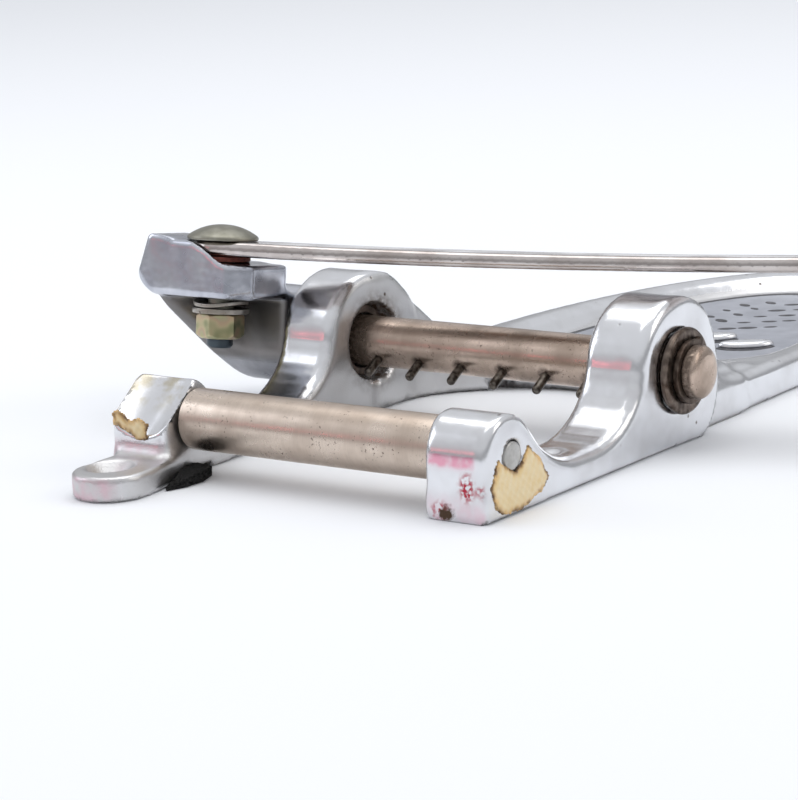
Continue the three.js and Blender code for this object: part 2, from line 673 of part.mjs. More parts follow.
// A curved spring washer that rises towards two opposite sides.
function makeSpringWasher() {
  const { radius, bottom, top, rise } = SPRING_WASHER;
  const flat = geometryOf(tube("Z", radius, BOLT_RADIUS + 0.3, bottom, top, [0, 0, 0], 32));
  const points = flat.getAttribute("position");
  for (let i = 0; i < points.count; i++) {
    const across = points.getX(i) / radius;
    points.setZ(i, points.getZ(i) + rise * across * across);
  }
  return solid(flat);
}

// The handle's plan: a round end at the pivot, a straight bar and a wider rounded paddle.
function armOutline() {
  const { pivotRadius, halfWidth, paddle, length } = ARM;
  const stations = [
    [14, halfWidth - 0.3], [28, halfWidth], [45, halfWidth], [62, halfWidth], [79, halfWidth],
    [96, halfWidth], [112, halfWidth + 0.1], [128, halfWidth + 0.5], [144, halfWidth + 1.1],
    [158, paddle], [length - paddle, paddle],
  ];
  const plan = new THREE.Shape();
  plan.absarc(0, 0, pivotRadius, rad(80), rad(280), false);
  stations.forEach(([s, half]) => plan.lineTo(s, -half));
  plan.absarc(length - paddle, 0, paddle, rad(-80), rad(80), false);
  stations.slice().reverse().forEach(([s, half]) => plan.lineTo(s, half));
  plan.closePath();
  return plan;
}

function makeArm() {
  const bar = extrusion(armOutline(), armBottom, armTop, 0.7, 8);
  const points = bar.getAttribute("position");
  for (let i = 0; i < points.count; i++) {
    const along = Math.max(points.getX(i), 0);
    points.setZ(i, points.getZ(i) + (along * along) / (2 * ARM.bend));
  }
  const drilled = cut(solid(bar), rod("Z", BOLT_RADIUS + 0.1, 0, 40, [0, 0, 0], 20));
  return turnedBy(drilled, vector(0, 0, 1), ARM_SWING);
}

const fibreLow = BLOCK.step + 0.15;
place(pivot, "arm", makeArm(), POLISHED_ALUMINIUM);
place(pivot, "pivot_bolt", makeBolt(), DOMED_NICKEL);
const fibreHigh = fibreLow + FIBRE_WASHER.thickness;
const fibreWasher = tube("Z", FIBRE_WASHER.radius, BOLT_RADIUS + 0.3, fibreLow, fibreHigh, [0, 0, 0], 28);
place(pivot, "fibre_washer", fibreWasher, RED_FIBRE);
place(pivot, "spring_washer", makeSpringWasher(), BRIGHT_STEEL);
const { radius: flatRadius, bottom: flatLow, top: flatHigh } = FLAT_WASHER;
const flatWasher = tube("Z", flatRadius, BOLT_RADIUS + 0.25, flatLow, flatHigh, [0, 0, 0], 32);
place(pivot, "flat_washer", flatWasher, BRIGHT_STEEL);
place(pivot, "pivot_nut", makeNut(), ZINC_YELLOW);

export default tailpiece;
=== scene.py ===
# The looks of a rocking-shaft vibrato tailpiece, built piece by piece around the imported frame.
# Blender works in metres; the sizes below are in millimetres, and MM turns them.
import math

import bmesh
import bpy
import numpy as np
from mathutils import Matrix, Vector


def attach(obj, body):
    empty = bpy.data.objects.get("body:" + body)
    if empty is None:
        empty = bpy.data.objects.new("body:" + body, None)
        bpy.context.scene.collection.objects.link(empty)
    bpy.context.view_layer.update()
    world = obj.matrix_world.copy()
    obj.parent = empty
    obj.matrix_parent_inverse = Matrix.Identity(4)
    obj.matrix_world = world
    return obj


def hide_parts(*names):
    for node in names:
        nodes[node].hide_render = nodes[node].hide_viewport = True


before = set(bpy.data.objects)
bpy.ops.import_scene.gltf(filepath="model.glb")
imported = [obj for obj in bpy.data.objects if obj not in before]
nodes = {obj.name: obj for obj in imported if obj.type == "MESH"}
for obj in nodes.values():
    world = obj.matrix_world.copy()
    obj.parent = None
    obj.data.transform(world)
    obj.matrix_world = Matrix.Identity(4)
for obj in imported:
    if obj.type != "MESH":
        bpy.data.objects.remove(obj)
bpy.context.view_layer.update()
MM = 0.001

# ---------------------------------------------------------------- frame casting
# The frame is one aluminium sand casting, polished by hand on its upper and outer faces. The faces
# between the legs and the ear keep the satin grey of the cast skin. Two screws hold it to the top.
SEAT_Y = 95  # from the shaft's axis back to the origin
SHAFT_HEIGHT = 15.4
TENSION_Y, TENSION_HEIGHT = -60.4, 11.1
LEG_INNER, LEG_OUTER = 30.8, 44.7
RIM_HEIGHT = 7.6
PANEL_FLOOR, PANEL_SLOPE = 3.6, 4.6
EAR_X, EAR_Y, EAR_RADIUS, EAR_TOP = -34.8, -81.5, 7.7, 5
EAR_SCREW_X, EAR_SCREW_Y = -37, -79.4
CAST_FACE = 0.8  # size of the casting's mesh faces


def arc(x, y, radius_x, radius_y, start, end, steps=14):
    """Points of an elliptic arc, in degrees."""
    turns = np.radians(np.linspace(start, end, steps))
    return [(x + radius_x * math.cos(t), y + radius_y * math.sin(t)) for t in turns]


def bezier(*corners, steps=8):
    """Points of a curve with two, three or four control points, without the first."""
    points = []
    for t in np.linspace(0, 1, steps + 1)[1:]:
        level = [np.array(c, float) for c in corners]
        while len(level) > 1:
            level = [a + (b - a) * t for a, b in zip(level, level[1:])]
        points.append(tuple(level[0]))
    return points


def outline_distance(points, u, v):
    """Distance from each (u, v) to a closed outline, below zero inside it."""
    nearest = np.full(u.shape, 1e9)
    inside = np.zeros(u.shape, bool)
    for (ax, ay), (bx, by) in zip(points, points[1:] + points[:1]):
        ex, ey = bx - ax, by - ay
        if abs(ex) + abs(ey) < 1e-9:
            continue
        wu, wv = u - ax, v - ay
        t = np.clip((wu * ex + wv * ey) / (ex * ex + ey * ey), 0, 1)
        nearest = np.minimum(nearest, (wu - ex * t) ** 2 + (wv - ey * t) ** 2)
        if ey:
            inside ^= ((ay > v) != (by > v)) & (u < ex * (v - ay) / ey + ax)
    return np.where(inside, -1, 1) * np.sqrt(nearest)


def slab(flat, place, low, high, rounding):
    """An outline pushed from low to high, with rounded edges."""
    across = np.abs(place - (low + high) / 2) - (high - low) / 2 + rounding
    flat = flat + rounding
    outer = np.hypot(np.maximum(flat, 0), np.maximum(across, 0))
    return np.minimum(np.maximum(flat, across), 0) + outer - rounding


def blended(a, b, fillet):
    """Two solids joined, with a fillet of about that size."""
    h = np.maximum(fillet - np.abs(a - b), 0) / fillet
    return np.minimum(a, b) - h * h * fillet / 4


def shared(a, b, rounding):
    """What two solids share, with rounded edges."""
    return -blended(-a, -b, rounding)


def ramp(value, low, high):
    t = np.clip((value - low) / (high - low), 0, 1)
    return t * t * (3 - 2 * t)


leg_outline = [(-70, 0), *arc(-61.9, TENSION_HEIGHT, 8.1, 8.1, 180, 50, 18)]
leg_outline += bezier(leg_outline[-1], (-51.6, 12.7), (-46.5, 6.2), (-37, 6.2), steps=14)
leg_outline += bezier((-37, 6.2), (-33, 6.2), steps=1)
leg_outline += bezier((-33, 6.2), (-24, 6.2), (-16.4, 11), (-14.7, 17.6))
leg_outline += arc(0, SHAFT_HEIGHT, 14.8, 14.8, 171, 10, 26)
leg_outline += bezier(leg_outline[-1], (16.6, 12), (15.6, 3), (9, 0))
rib_outline = [(0, 0), (0, 28), (6.5, 28.2), *bezier((6.5, 28.2), (12, 23.9), (18, 19.8), steps=4)]
rib_outline += [*bezier((18, 19.8), (24, 15.6), (29, 9.6), (42, RIM_HEIGHT)), (42, 0)]
foot_outline = [(0, 0), (0, 22), (12, 22), *bezier((12, 22), (15, 17), (17, 9), (32, RIM_HEIGHT)), (34, 0)]
plate_outline = [(41.2, 0), (41.2, 30), *arc(0, 50, 40.6, 99, 0, 180, 50), (-41.2, 30), (-41.2, 0)]
plate_outline += [(-30.8, 0), (-30.8, 8), *bezier((-30.8, 8), (-30.8, 22), (-14, 33.5), (0, 33.5))]
plate_outline += [*bezier((0, 33.5), (14, 33.5), (30.8, 22), (30.8, 8)), (30.8, 0)]
panel_outline = [*arc(0, 60, 29.5, 79, 0, 180, 40)]
panel_outline += bezier((-29.5, 60), (-29.5, 48), (-18, 45), (0, 45))
panel_outline += bezier((0, 45), (18, 45), (29.5, 48), (29.5, 60))
ear_outline = [(-42.5, -62), *arc(EAR_X, EAR_Y, EAR_RADIUS, EAR_RADIUS, 180, 360, 18)]
ear_outline += bezier((-27.1, EAR_Y), (-27.1, -76), (-28.6, -70), (-31.2, -64))


def casting_shape(x, y, z):
    side = np.abs(x)
    edge = 2.4 - 1.9 * ramp(y, -4, 10) - 1.4 * ramp(-y, 50, 56) + 0.9 * ramp(-y, 65, 69) * ramp(z, 3, 7)
    edge = 0.4 + (edge - 0.4) * ramp(z, 0.3, 3)
    body = slab(outline_distance(leg_outline, y, z), side, LEG_INNER, LEG_OUTER, edge)
    rib = slab(outline_distance(rib_outline, y, z), side, 31.1, 36.2, 1.4)
    foot = slab(outline_distance(foot_outline, y, z), side, 31.6, 40.9, 1.5)
    body = blended(body, blended(rib, foot, 4), 2.5)
    plate = slab(outline_distance(plate_outline, x, y), z, 0, RIM_HEIGHT, 0.4 + 1.6 * ramp(z, 1, 4))
    body = blended(body, plate, 2.5)
    ear = slab(outline_distance(ear_outline, x, y), z, 0, EAR_TOP, 0.3 + 0.5 * ramp(z, 1, 4))
    body = np.where(x < 0, blended(body, ear, 3.2), body)
    # The sunken panel, with sloping walls.
    lean = math.hypot(RIM_HEIGHT - PANEL_FLOOR, PANEL_SLOPE)
    wall = outline_distance(panel_outline, x, y) * (RIM_HEIGHT - PANEL_FLOOR)
    wall = (wall - (z - PANEL_FLOOR) * PANEL_SLOPE) / lean
    body = shared(body, -shared(wall, PANEL_FLOOR - z, 0.8), 1.6)
    # The bearing bores, the axle's bore, the ear's dish and hole, the tail's hole and the web's dimples.
    bore = np.hypot(y, z - SHAFT_HEIGHT) - np.where(side < 32.4, 8.3, 7.75)
    bore = np.maximum(bore, 25 - side)
    axle = np.maximum(np.hypot(y - TENSION_Y, z - TENSION_HEIGHT) - 3.1, 25 - side)
    ear_from = np.hypot(x - EAR_SCREW_X, (y - EAR_SCREW_Y) * 0.9)
    hole = np.minimum(ear_from - 2.3, (ear_from - 4.9 + (EAR_TOP - z)) * 0.7)
    tail_from = np.hypot(x, y - 143.6)
    tail = np.minimum(tail_from - 2.3, (tail_from - 4 + (RIM_HEIGHT - z)) * 0.7)
    dimple = np.hypot(np.hypot(side - 37.9, y + 37.5), z - 6.2 - 4.2) - 5.1
    for cutter, round_edge in ((bore, 0.6), (axle, 0.5), (hole, 0.3), (tail, 0.6), (dimple, 0.7)):
        body = shared(body, -cutter, round_edge)
    pad = np.maximum(np.maximum(np.abs(side - 37.75) - 5.6, np.abs(y + 61.85) - 6.65), z - 1.35)
    crept = np.maximum(np.maximum(np.abs(x + 28) - 8, np.abs(y + 60.75) - 5.55), z - 1.35)
    # The fillets swell the flat underside, which is ground level again.
    return np.maximum(np.maximum(body, -z), -np.minimum(pad, crept))


def tailpiece_place(points):
    """Row frame in metres to millimetres about the shaft's axis, as the outlines are drawn."""
    moved = points / MM
    moved[:, 1] += SEAT_Y
    return moved


def settle(piece, shape, place, steps=5):
    """Moves each vertex onto the surface where shape is zero."""
    count = len(piece.data.vertices)
    points = np.zeros(count * 3)
    piece.data.vertices.foreach_get("co", points)
    points = points.reshape(-1, 3)
    small = 0.02 * MM
    for _ in range(steps):
        here = shape(*place(points.copy()).T)
        slope = np.zeros_like(points)
        for i in range(3):
            nudged = points.copy()
            nudged[:, i] += small
            slope[:, i] = (shape(*place(nudged).T) - here) / (small / MM)
        length = np.maximum((slope**2).sum(1), 0.25)
        move = -slope * (np.clip(here, -1.2, 1.2) / length)[:, None]
        points += move * MM
    piece.data.vertices.foreach_set("co", points.ravel())
    piece.data.update()


def recast(name, source, face):
    """A new piece with a CAD node's form in even faces of that size, smooth shaded."""
    mesh = bmesh.new()
    mesh.from_mesh(nodes[source].data)
    bmesh.ops.remove_doubles(mesh, verts=mesh.verts, dist=1e-6)
    piece = bpy.data.objects.new(name, bpy.data.meshes.new(name))
    mesh.to_mesh(piece.data)
    mesh.free()
    bpy.context.scene.collection.objects.link(piece)
    remesh = piece.modifiers.new("even faces", "REMESH")
    remesh.mode = "VOXEL"
    remesh.voxel_size = face * MM
    bake(piece)
    return piece


def bake(piece):
    """Applies a piece's modifiers and shades it smooth."""
    bpy.context.view_layer.update()
    made = bpy.data.meshes.new_from_object(piece.evaluated_get(bpy.context.evaluated_depsgraph_get()))
    piece.modifiers.clear()
    piece.data = made
    made.polygons.foreach_set("use_smooth", [True] * len(made.polygons))


def linear(hex_colour):
    """An sRGB hex colour as linear RGBA."""
    parts = [int(hex_colour[i : i + 2], 16) / 255 for i in (1, 3, 5)]
    return (*[c / 12.92 if c < 0.04045 else ((c + 0.055) / 1.055) ** 2.4 for c in parts], 1)


def add(material, kind, inputs=None, **settings):
    """Adds a node; an input that is a socket is linked, and any other is set."""
    node = material.node_tree.nodes.new(kind)
    for name, value in settings.items():
        setattr(node, name, value)
    for name, value in (inputs or {}).items():
        if isinstance(value, bpy.types.NodeSocket):
            material.node_tree.links.new(value, node.inputs[name])
        else:
            node.inputs[name].default_value = value
    return node


def new_material(name):
    """A material with nothing but its output and a Principled shader joined to it."""
    material = bpy.data.materials.new(name)
    material.use_nodes = True
    material.node_tree.nodes.clear()
    shader = add(material, "ShaderNodeBsdfPrincipled")
    add(material, "ShaderNodeOutputMaterial", {"Surface": shader.outputs[0]})
    where = add(material, "ShaderNodeTexCoord").outputs["Object"]
    return material, shader, where


def blotches(material, where, size, low, high, detail=3.0, stretch=None):
    """A noise of that size in millimetres, spread between two thresholds."""
    if stretch:
        where = add(material, "ShaderNodeMapping", {"Vector": where, "Scale": stretch}).outputs[0]
    noise = add(material, "ShaderNodeTexNoise", {"Vector": where, "Scale": 1 / (size * MM), "Detail": detail})
    spread = {"Value": noise.outputs["Fac"], "From Min": low, "From Max": high}
    return add(material, "ShaderNodeMapRange", spread).outputs[0]


def tinted(material, amount, under, over):
    """One colour over another by an amount; each may be a colour or a socket."""
    mix = add(material, "ShaderNodeMix", data_type="RGBA")
    for slot, value in (("Factor", amount), ("A", under), ("B", over)):
        socket = [s for s in mix.inputs if s.name == slot and s.enabled][0]
        if isinstance(value, bpy.types.NodeSocket):
            material.node_tree.links.new(value, socket)
        else:
            socket.default_value = value
    return [s for s in mix.outputs if s.enabled][0]


def maths(material, operation, a, b=0.5, clamp=False):
    node = add(material, "ShaderNodeMath", {0: a, 1: b}, operation=operation)
    node.use_clamp = clamp
    return node.outputs[0]


def mark(piece, name, values):
    """A value for each vertex, which the material reads by name."""
    attribute = piece.data.attributes.new(name, "FLOAT", "POINT")
    attribute.data.foreach_set("value", values.astype(np.float32))


def marked(material, name):
    return add(material, "ShaderNodeAttribute", attribute_name=name).outputs["Fac"]


def finish_piece(piece, material, slot, body, *replaced):
    """Material and body of a finished piece, and the CAD nodes it stands for; slot is not used."""
    piece.data.materials.clear()
    piece.data.materials.append(material)
    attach(piece, body)
    if replaced:
        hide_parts(*replaced)
    return piece


def places_and_normals(piece):
    count = len(piece.data.vertices)
    points, normals = np.zeros(count * 3), np.zeros(count * 3)
    piece.data.vertices.foreach_get("co", points)
    piece.data.vertex_normals.foreach_get("vector", normals)
    return tailpiece_place(points.reshape(-1, 3)).T, normals.reshape(-1, 3).T


# Hand-polished cast aluminium: near-white, with a slow waviness that bends its reflections, fine
# wheel marks, and pits. Where "satin" is set, the sandy cast skin is left; stains lie in the grime and amber marks,
# while the rose and red marks are painted reflections.
cast_aluminium, shader, where = new_material("hand-polished cast aluminium")
satin = marked(cast_aluminium, "satin")
grime = marked(cast_aluminium, "grime")
amber_film = marked(cast_aluminium, "amber")
# Painted reflection: the rose mark tints the front posts where a red card would reflect.
painted_rose_mask = marked(cast_aluminium, "rose")
worn = blotches(cast_aluminium, where, 9, 0.42, 0.72)
grain = blotches(cast_aluminium, where, 0.35, 0.3, 0.7, 2.0)
pits = add(cast_aluminium, "ShaderNodeTexVoronoi", {"Vector": where, "Scale": 260.0, "Randomness": 1.0})
pit_keep = blotches(cast_aluminium, where, 14, 0.55, 0.62)
pit = add(cast_aluminium, "ShaderNodeMapRange", {"Value": pits.outputs["Distance"], "From Min": 0.13, "From Max": 0.05})
pit = maths(cast_aluminium, "MULTIPLY", pit.outputs[0], pit_keep)
colour = tinted(cast_aluminium, worn, linear("#e4e5e8"), linear("#d4d4d6"))
colour = tinted(cast_aluminium, maths(cast_aluminium, "MULTIPLY", satin, 0.6), colour, linear("#b2afab"))
# Painted reflection: a mottled rose tint standing in for a red card's reflection on the front posts.
painted_rose_tint = maths(cast_aluminium, "MULTIPLY", painted_rose_mask, blotches(cast_aluminium, where, 3.0, 0.3, 0.7))
colour = tinted(cast_aluminium, painted_rose_tint, colour, linear("#dfa3b4"))
# Painted reflection: small red spots on the near post's front stand in for a red card's reflection.
painted_red_reflection = maths(cast_aluminium, "MULTIPLY", marked(cast_aluminium, "red"), blotches(cast_aluminium, where, 0.8, 0.42, 0.56))
colour = tinted(cast_aluminium, painted_red_reflection, colour, linear("#a83a48"))
amber_spots = blotches(cast_aluminium, where, 3.4, 0.4, 0.62)
amber = maths(cast_aluminium, "MULTIPLY", amber_film, amber_spots)
colour = tinted(cast_aluminium, amber, colour, linear("#a9985c"))
grime_spots = blotches(cast_aluminium, where, 1.6, 0.36, 0.6)
dirt = maths(cast_aluminium, "MULTIPLY", grime, maths(cast_aluminium, "ADD", grime_spots, 0.35), True)
colour = tinted(cast_aluminium, dirt, colour, linear("#4a3420"))
colour = tinted(cast_aluminium, pit, colour, linear("#5c5048"))
cast_aluminium.node_tree.links.new(colour, shader.inputs["Base Color"])
rough = maths(cast_aluminium, "MULTIPLY_ADD", worn, 0.09)
rough.node.inputs[2].default_value = 0.17
rough = maths(cast_aluminium, "MAXIMUM", rough, maths(cast_aluminium, "MULTIPLY", satin, 0.46))
rough = maths(cast_aluminium, "MAXIMUM", rough, maths(cast_aluminium, "MULTIPLY", dirt, 0.7))
cast_aluminium.node_tree.links.new(rough, shader.inputs["Roughness"])
metal = maths(cast_aluminium, "SUBTRACT", 1.0, maths(cast_aluminium, "MULTIPLY", dirt, 0.85))
cast_aluminium.node_tree.links.new(metal, shader.inputs["Metallic"])
waves = add(cast_aluminium, "ShaderNodeTexNoise", {"Vector": where, "Scale": 75.0, "Detail": 2.0})
bump = add(cast_aluminium, "ShaderNodeBump", {"Height": waves.outputs["Fac"], "Strength": 0.5, "Distance": 0.0005})
sand = maths(cast_aluminium, "MULTIPLY", grain, maths(cast_aluminium, "ADD", satin, 0.04))
sanded = {"Height": sand, "Normal": bump.outputs[0], "Strength": 0.5, "Distance": 0.00006}
bump = add(cast_aluminium, "ShaderNodeBump", sanded)
pitted = {"Height": pit, "Normal": bump.outputs[0], "Strength": 0.6, "Distance": -0.0001}
bump = add(cast_aluminium, "ShaderNodeBump", pitted)
cast_aluminium.node_tree.links.new(bump.outputs[0], shader.inputs["Normal"])

casting = recast("frame_casting", "frame", CAST_FACE)
settle(casting, casting_shape, tailpiece_place)
(cx, cy, cz), (nx, ny, nz) = places_and_normals(casting)
facing_in = ramp(-nx * np.sign(cx), 0.55, 0.9)
skin = facing_in * 0.75 * ramp(-np.abs(cx), -46, -40)
skin = np.maximum(skin, ramp(-nz, 0.4, 0.8) * 0.8)
left_foot = ramp(-cx, 26, 30) * ramp(-cy, 52, 62) * ramp(-cz, -9.5, -6)
skin = np.maximum(skin, np.maximum(left_foot * 0.8, ramp(-np.abs(cx), -30, -28) * (cz < 5) * 0.7))
mark(casting, "satin", skin)
bore_from = np.hypot(cy, cz - SHAFT_HEIGHT)
in_left_bore = ramp(-bore_from, -9.2, -8.0) * (cx < 0) * 0.85
by_left_bore = ramp(-bore_from, -12.5, -8.5) * (cx < 0) * ramp(cx, -34, -31) * 0.3
below_axle = ramp(-np.hypot(cx - 35.8, cz - 1.5), -1.7, -0.8) * (cy < -66) * 2.0
mark(casting, "grime", np.maximum(np.maximum(in_left_bore, by_left_bore), below_axle))
on_left_post = ramp(-cx, 30, 34) * ramp(-cy, 54, 57)
mark(casting, "amber", on_left_post * ramp(cz, 12, 16) * 0.5)
in_front = ramp(-ny, 0.5, 0.9) * ramp(-cy, 60, 66)
# Painted reflection: a rose band across the near post's front, and a faint rose tint low on both front posts.
painted_rose_band = ramp(cz, 9.9, 10.3) * ramp(-cz, -12.9, -12.4) * ramp(cx, 31.5, 32.5) * ramp(-cx, -43, -42)
painted_rose_low = ramp(-cz, -6.5, -2) * 0.45
mark(casting, "rose", in_front * np.where(cx > 0, np.maximum(painted_rose_band * 1.6, painted_rose_low), ramp(-cz, -9, -6) * 0.5))
# Painted reflection: three red spots low on the near post's front, where a red card would reflect.
red_reflection_spots = 1.1 * ramp(-np.hypot(cx - 40.6, (cz - 6.8) * 0.6), -2.2, -0.9)
red_reflection_spots = np.maximum(red_reflection_spots, ramp(-np.hypot(cx - 34.6, (cz - 1.8) * 1.2), -2.8, -1.2))
red_reflection_spots = np.maximum(red_reflection_spots, 0.8 * ramp(-np.hypot(cx - 43.6, cz - 6.3), -1.6, -0.6))
mark(casting, "red", in_front * red_reflection_spots * (cx > 0))
finish_piece(casting, cast_aluminium, "polished_aluminium", "base", "frame")

# ---------------------------------------------------------------- ornament in the tail's panel
# The sunken panel carries a plain herringbone of cast leaves and small dashes, filled round with
# black enamel. The leaves stand proud and are rubbed bright; the dashes are enamel only. The leaves'
# enamel beds are set forward of them, towards the camera, so their black is partly painted shadow.
TAILPIECE = Matrix.Translation((0, -SEAT_Y * MM, 0)) @ Matrix.Scale(MM, 4)


def strewn(name, shape_piece, spots, material, place):
    """One mesh with a copy of a piece at each spot: x, y, z, turn in degrees, size."""
    points = bpy.data.meshes.new(name)
    points.from_pydata([spot[:3] for spot in spots], [], [])
    points.transform(place)
    piece = bpy.data.objects.new(name, points)
    bpy.context.scene.collection.objects.link(piece)
    for label, column in (("turn", 3), ("size", 4)):
        points.attributes.new(label, "FLOAT", "POINT").data.foreach_set("value", [spot[column] for spot in spots])
    tree = bpy.data.node_groups.new("copies at spots", "GeometryNodeTree")
    for label, kind in (("Spots", "Geometry"), ("Shape", "Object"), ("Finish", "Material")):
        tree.interface.new_socket(label, in_out="INPUT", socket_type="NodeSocket" + kind)
    tree.interface.new_socket("Copies", in_out="OUTPUT", socket_type="NodeSocketGeometry")
    given = tree.nodes.new("NodeGroupInput")
    made = tree.nodes.new("NodeGroupOutput")
    shape = tree.nodes.new("GeometryNodeObjectInfo")
    copies = tree.nodes.new("GeometryNodeInstanceOnPoints")
    spin = tree.nodes.new("ShaderNodeCombineXYZ")
    turn = tree.nodes.new("GeometryNodeInputNamedAttribute")
    size = tree.nodes.new("GeometryNodeInputNamedAttribute")
    solid = tree.nodes.new("GeometryNodeRealizeInstances")
    coat = tree.nodes.new("GeometryNodeSetMaterial")
    turn.inputs["Name"].default_value, size.inputs["Name"].default_value = "turn", "size"
    for start, end in (
        (given.outputs["Spots"], copies.inputs["Points"]),
        (given.outputs["Shape"], shape.inputs["Object"]),
        (given.outputs["Finish"], coat.inputs["Material"]),
        (shape.outputs["Geometry"], copies.inputs["Instance"]),
        (turn.outputs["Attribute"], spin.inputs["Z"]),
        (spin.outputs[0], copies.inputs["Rotation"]),
        (size.outputs["Attribute"], copies.inputs["Scale"]),
        (copies.outputs[0], solid.inputs[0]),
        (solid.outputs[0], coat.inputs[0]),
        (coat.outputs[0], made.inputs[0]),
    ):
        tree.links.new(start, end)
    modifier = piece.modifiers.new("copies", "NODES")
    modifier.node_group = tree
    sockets = {item.name: item.identifier for item in tree.interface.items_tree if item.in_out == "INPUT"}
    modifier[sockets["Shape"]] = shape_piece
    modifier[sockets["Finish"]] = material
    bake(piece)
    bpy.data.objects.remove(shape_piece)
    return piece


def lozenge(name, length, width, height, crown):
    """A closed leaf with pointed ends, lying along X, its top crowned."""
    steps = 14
    rim = [(-length / 2 * math.cos(math.pi * i / steps), width / 2 * math.sin(math.pi * i / steps) ** 1.4)
           for i in range(steps + 1)]
    loop = rim + [(x, -y) for x, y in rim[-2:0:-1]]
    rings = [[(x, y, -0.3) for x, y in loop], [(x, y, height * 0.6) for x, y in loop]]
    rings.append([(x * 0.9, y * 0.72, height) for x, y in loop])
    points = [p for ring in rings for p in ring] + [(0, 0, -0.3), (0, 0, height + crown)]
    n = len(loop)
    faces = [(r * n + i, r * n + (i + 1) % n, (r + 1) * n + (i + 1) % n, (r + 1) * n + i)
             for r in range(2) for i in range(n)]
    faces += [(3 * n, (i + 1) % n, i) for i in range(n)]
    faces += [(3 * n + 1, 2 * n + i, 2 * n + (i + 1) % n) for i in range(n)]
    return drawn(name, points, faces)


def drawn(name, points, faces, matrix=Matrix.Scale(MM, 4)):
    """A piece from points and faces in millimetres, with its faces turned outwards."""
    piece = bpy.data.objects.new(name, bpy.data.meshes.new(name))
    piece.data.from_pydata([tuple(p) for p in points], [], faces)
    mesh = bmesh.new()
    mesh.from_mesh(piece.data)
    bmesh.ops.remove_doubles(mesh, verts=mesh.verts, dist=1e-5)
    bmesh.ops.recalc_face_normals(mesh, faces=mesh.faces)
    mesh.to_mesh(piece.data)
    mesh.free()
    piece.data.transform(matrix)
    piece.data.polygons.foreach_set("use_smooth", [True] * len(piece.data.polygons))
    bpy.context.scene.collection.objects.link(piece)
    return piece


# Black enamel, brushed thinly into the casting and half worn away: a dull grey-black skin.
enamel, shader, where = new_material("worn black enamel")
patchy = blotches(enamel, where, 1.2, 0.4, 0.65)
enamel.node_tree.links.new(tinted(enamel, patchy, linear("#26262a"), linear("#4c4c52")), shader.inputs["Base Color"])
shader.inputs["Roughness"].default_value = 0.45

grey_paint, shader, where = new_material("thin grey stove enamel")
cloudy = blotches(grey_paint, where, 6, 0.35, 0.7)
grey_paint.node_tree.links.new(tinted(grey_paint, cloudy, linear("#93969f"), linear("#a5a8b1")), shader.inputs["Base Color"])
shader.inputs["Roughness"].default_value = 0.38
for name, inset, outer, paint in (("panel_ground", 1.4, None, grey_paint), ("panel_border", 2.2, 0.7, enamel)):
    ring = [(x * (1 - inset / 29.5), 60 + (y - 60) * (1 - inset / 50), PANEL_FLOOR) for x, y in panel_outline]
    if outer is None:
        sheet = [(x, y, z + 0.05) for x, y, z in ring] + [(x, y, z - 0.2) for x, y, z in ring]
        n = len(ring)
        faces = [tuple(range(n)), tuple(range(2 * n - 1, n - 1, -1))]
        faces += [(i, (i + 1) % n, n + (i + 1) % n, n + i) for i in range(n)]
    else:
        wide = [(x * (1 - outer / 29.5), 60 + (y - 60) * (1 - outer / 50), z + 0.1) for x, y, z in ring]
        wide = [(x * (1 - outer / 29.5), 60 + (y - 60) * (1 - outer / 50), PANEL_FLOOR) for x, y in panel_outline]
        n = len(ring)
        levels = [ring, wide]
        sheet = [(x, y, z + 0.07) for x, y, z in ring] + [(x, y, z + 0.07) for x, y, z in wide]
        sheet += [(x, y, z - 0.2) for x, y, z in ring] + [(x, y, z - 0.2) for x, y, z in wide]
        faces = []
        for i in range(n):
            j = (i + 1) % n
            faces += [(i, j, n + j, n + i), (2 * n + j, 2 * n + i, 3 * n + i, 3 * n + j)]
            faces += [(j, i, 2 * n + i, 2 * n + j), (n + i, n + j, 3 * n + j, 3 * n + i)]
    paint_piece = drawn(name, sheet, faces, TAILPIECE)
    paint_piece.data.polygons.foreach_set("use_smooth", [False] * len(paint_piece.data.polygons))
    finish_piece(paint_piece, paint, "polished_aluminium", "base")
row_rise, rows = 0.70, (68, 80, 90, 98, 106, 114, 122)
marks, leaves, enamel_and_shadow_beds = [], [], []
for number, row_y in enumerate(rows):
    reach = 24 * math.sqrt(max(0, 1 - ((row_y + 8 - 60) / 79) ** 2)) - 2
    for side in (-1, 1):
        lean = math.degrees(math.atan(row_rise)) * side
        if number < 2:
            for across in (5.5, 17):
                if across + 4 < reach:
                    spot = (side * across, row_y - 4 + across * row_rise)
                    leaves.append((*spot, PANEL_FLOOR, math.radians(lean), 1.0))
                    # Painted shadow: each leaf's black enamel bed is moved 1.2 mm towards the camera, so it shows as
                    # the leaf's shadow.
                    enamel_and_shadow_beds.append((spot[0] + 0.4 * side, spot[1] - 1.2, PANEL_FLOOR, math.radians(lean), 1.0))
        else:
            across = 3.0
            while across < reach - 3:
                wide = 0.75 + 0.35 * math.sin(across * 1.7 + number * 2.3 + side) ** 2
                marks.append((side * across, row_y + across * row_rise, PANEL_FLOOR, math.radians(lean), wide))
                across += 4.4 + 0.8 * math.sin(number * 1.3 + across)
dashes = strewn("panel_dashes", lozenge("dash", 4.2, 2.3, 0.1, 0.03), marks, enamel, TAILPIECE)
finish_piece(dashes, enamel, "polished_aluminium", "base")
bed = strewn("panel_enamel_beds", lozenge("bed", 13.6, 7.4, 0.12, 0.02), enamel_and_shadow_beds, enamel, TAILPIECE)
finish_piece(bed, enamel, "polished_aluminium", "base")
leaf = strewn("panel_leaves", lozenge("leaf", 12.4, 5.2, 1.3, 0.35), leaves, cast_aluminium, TAILPIECE)
finish_piece(leaf, cast_aluminium, "polished_aluminium", "base")

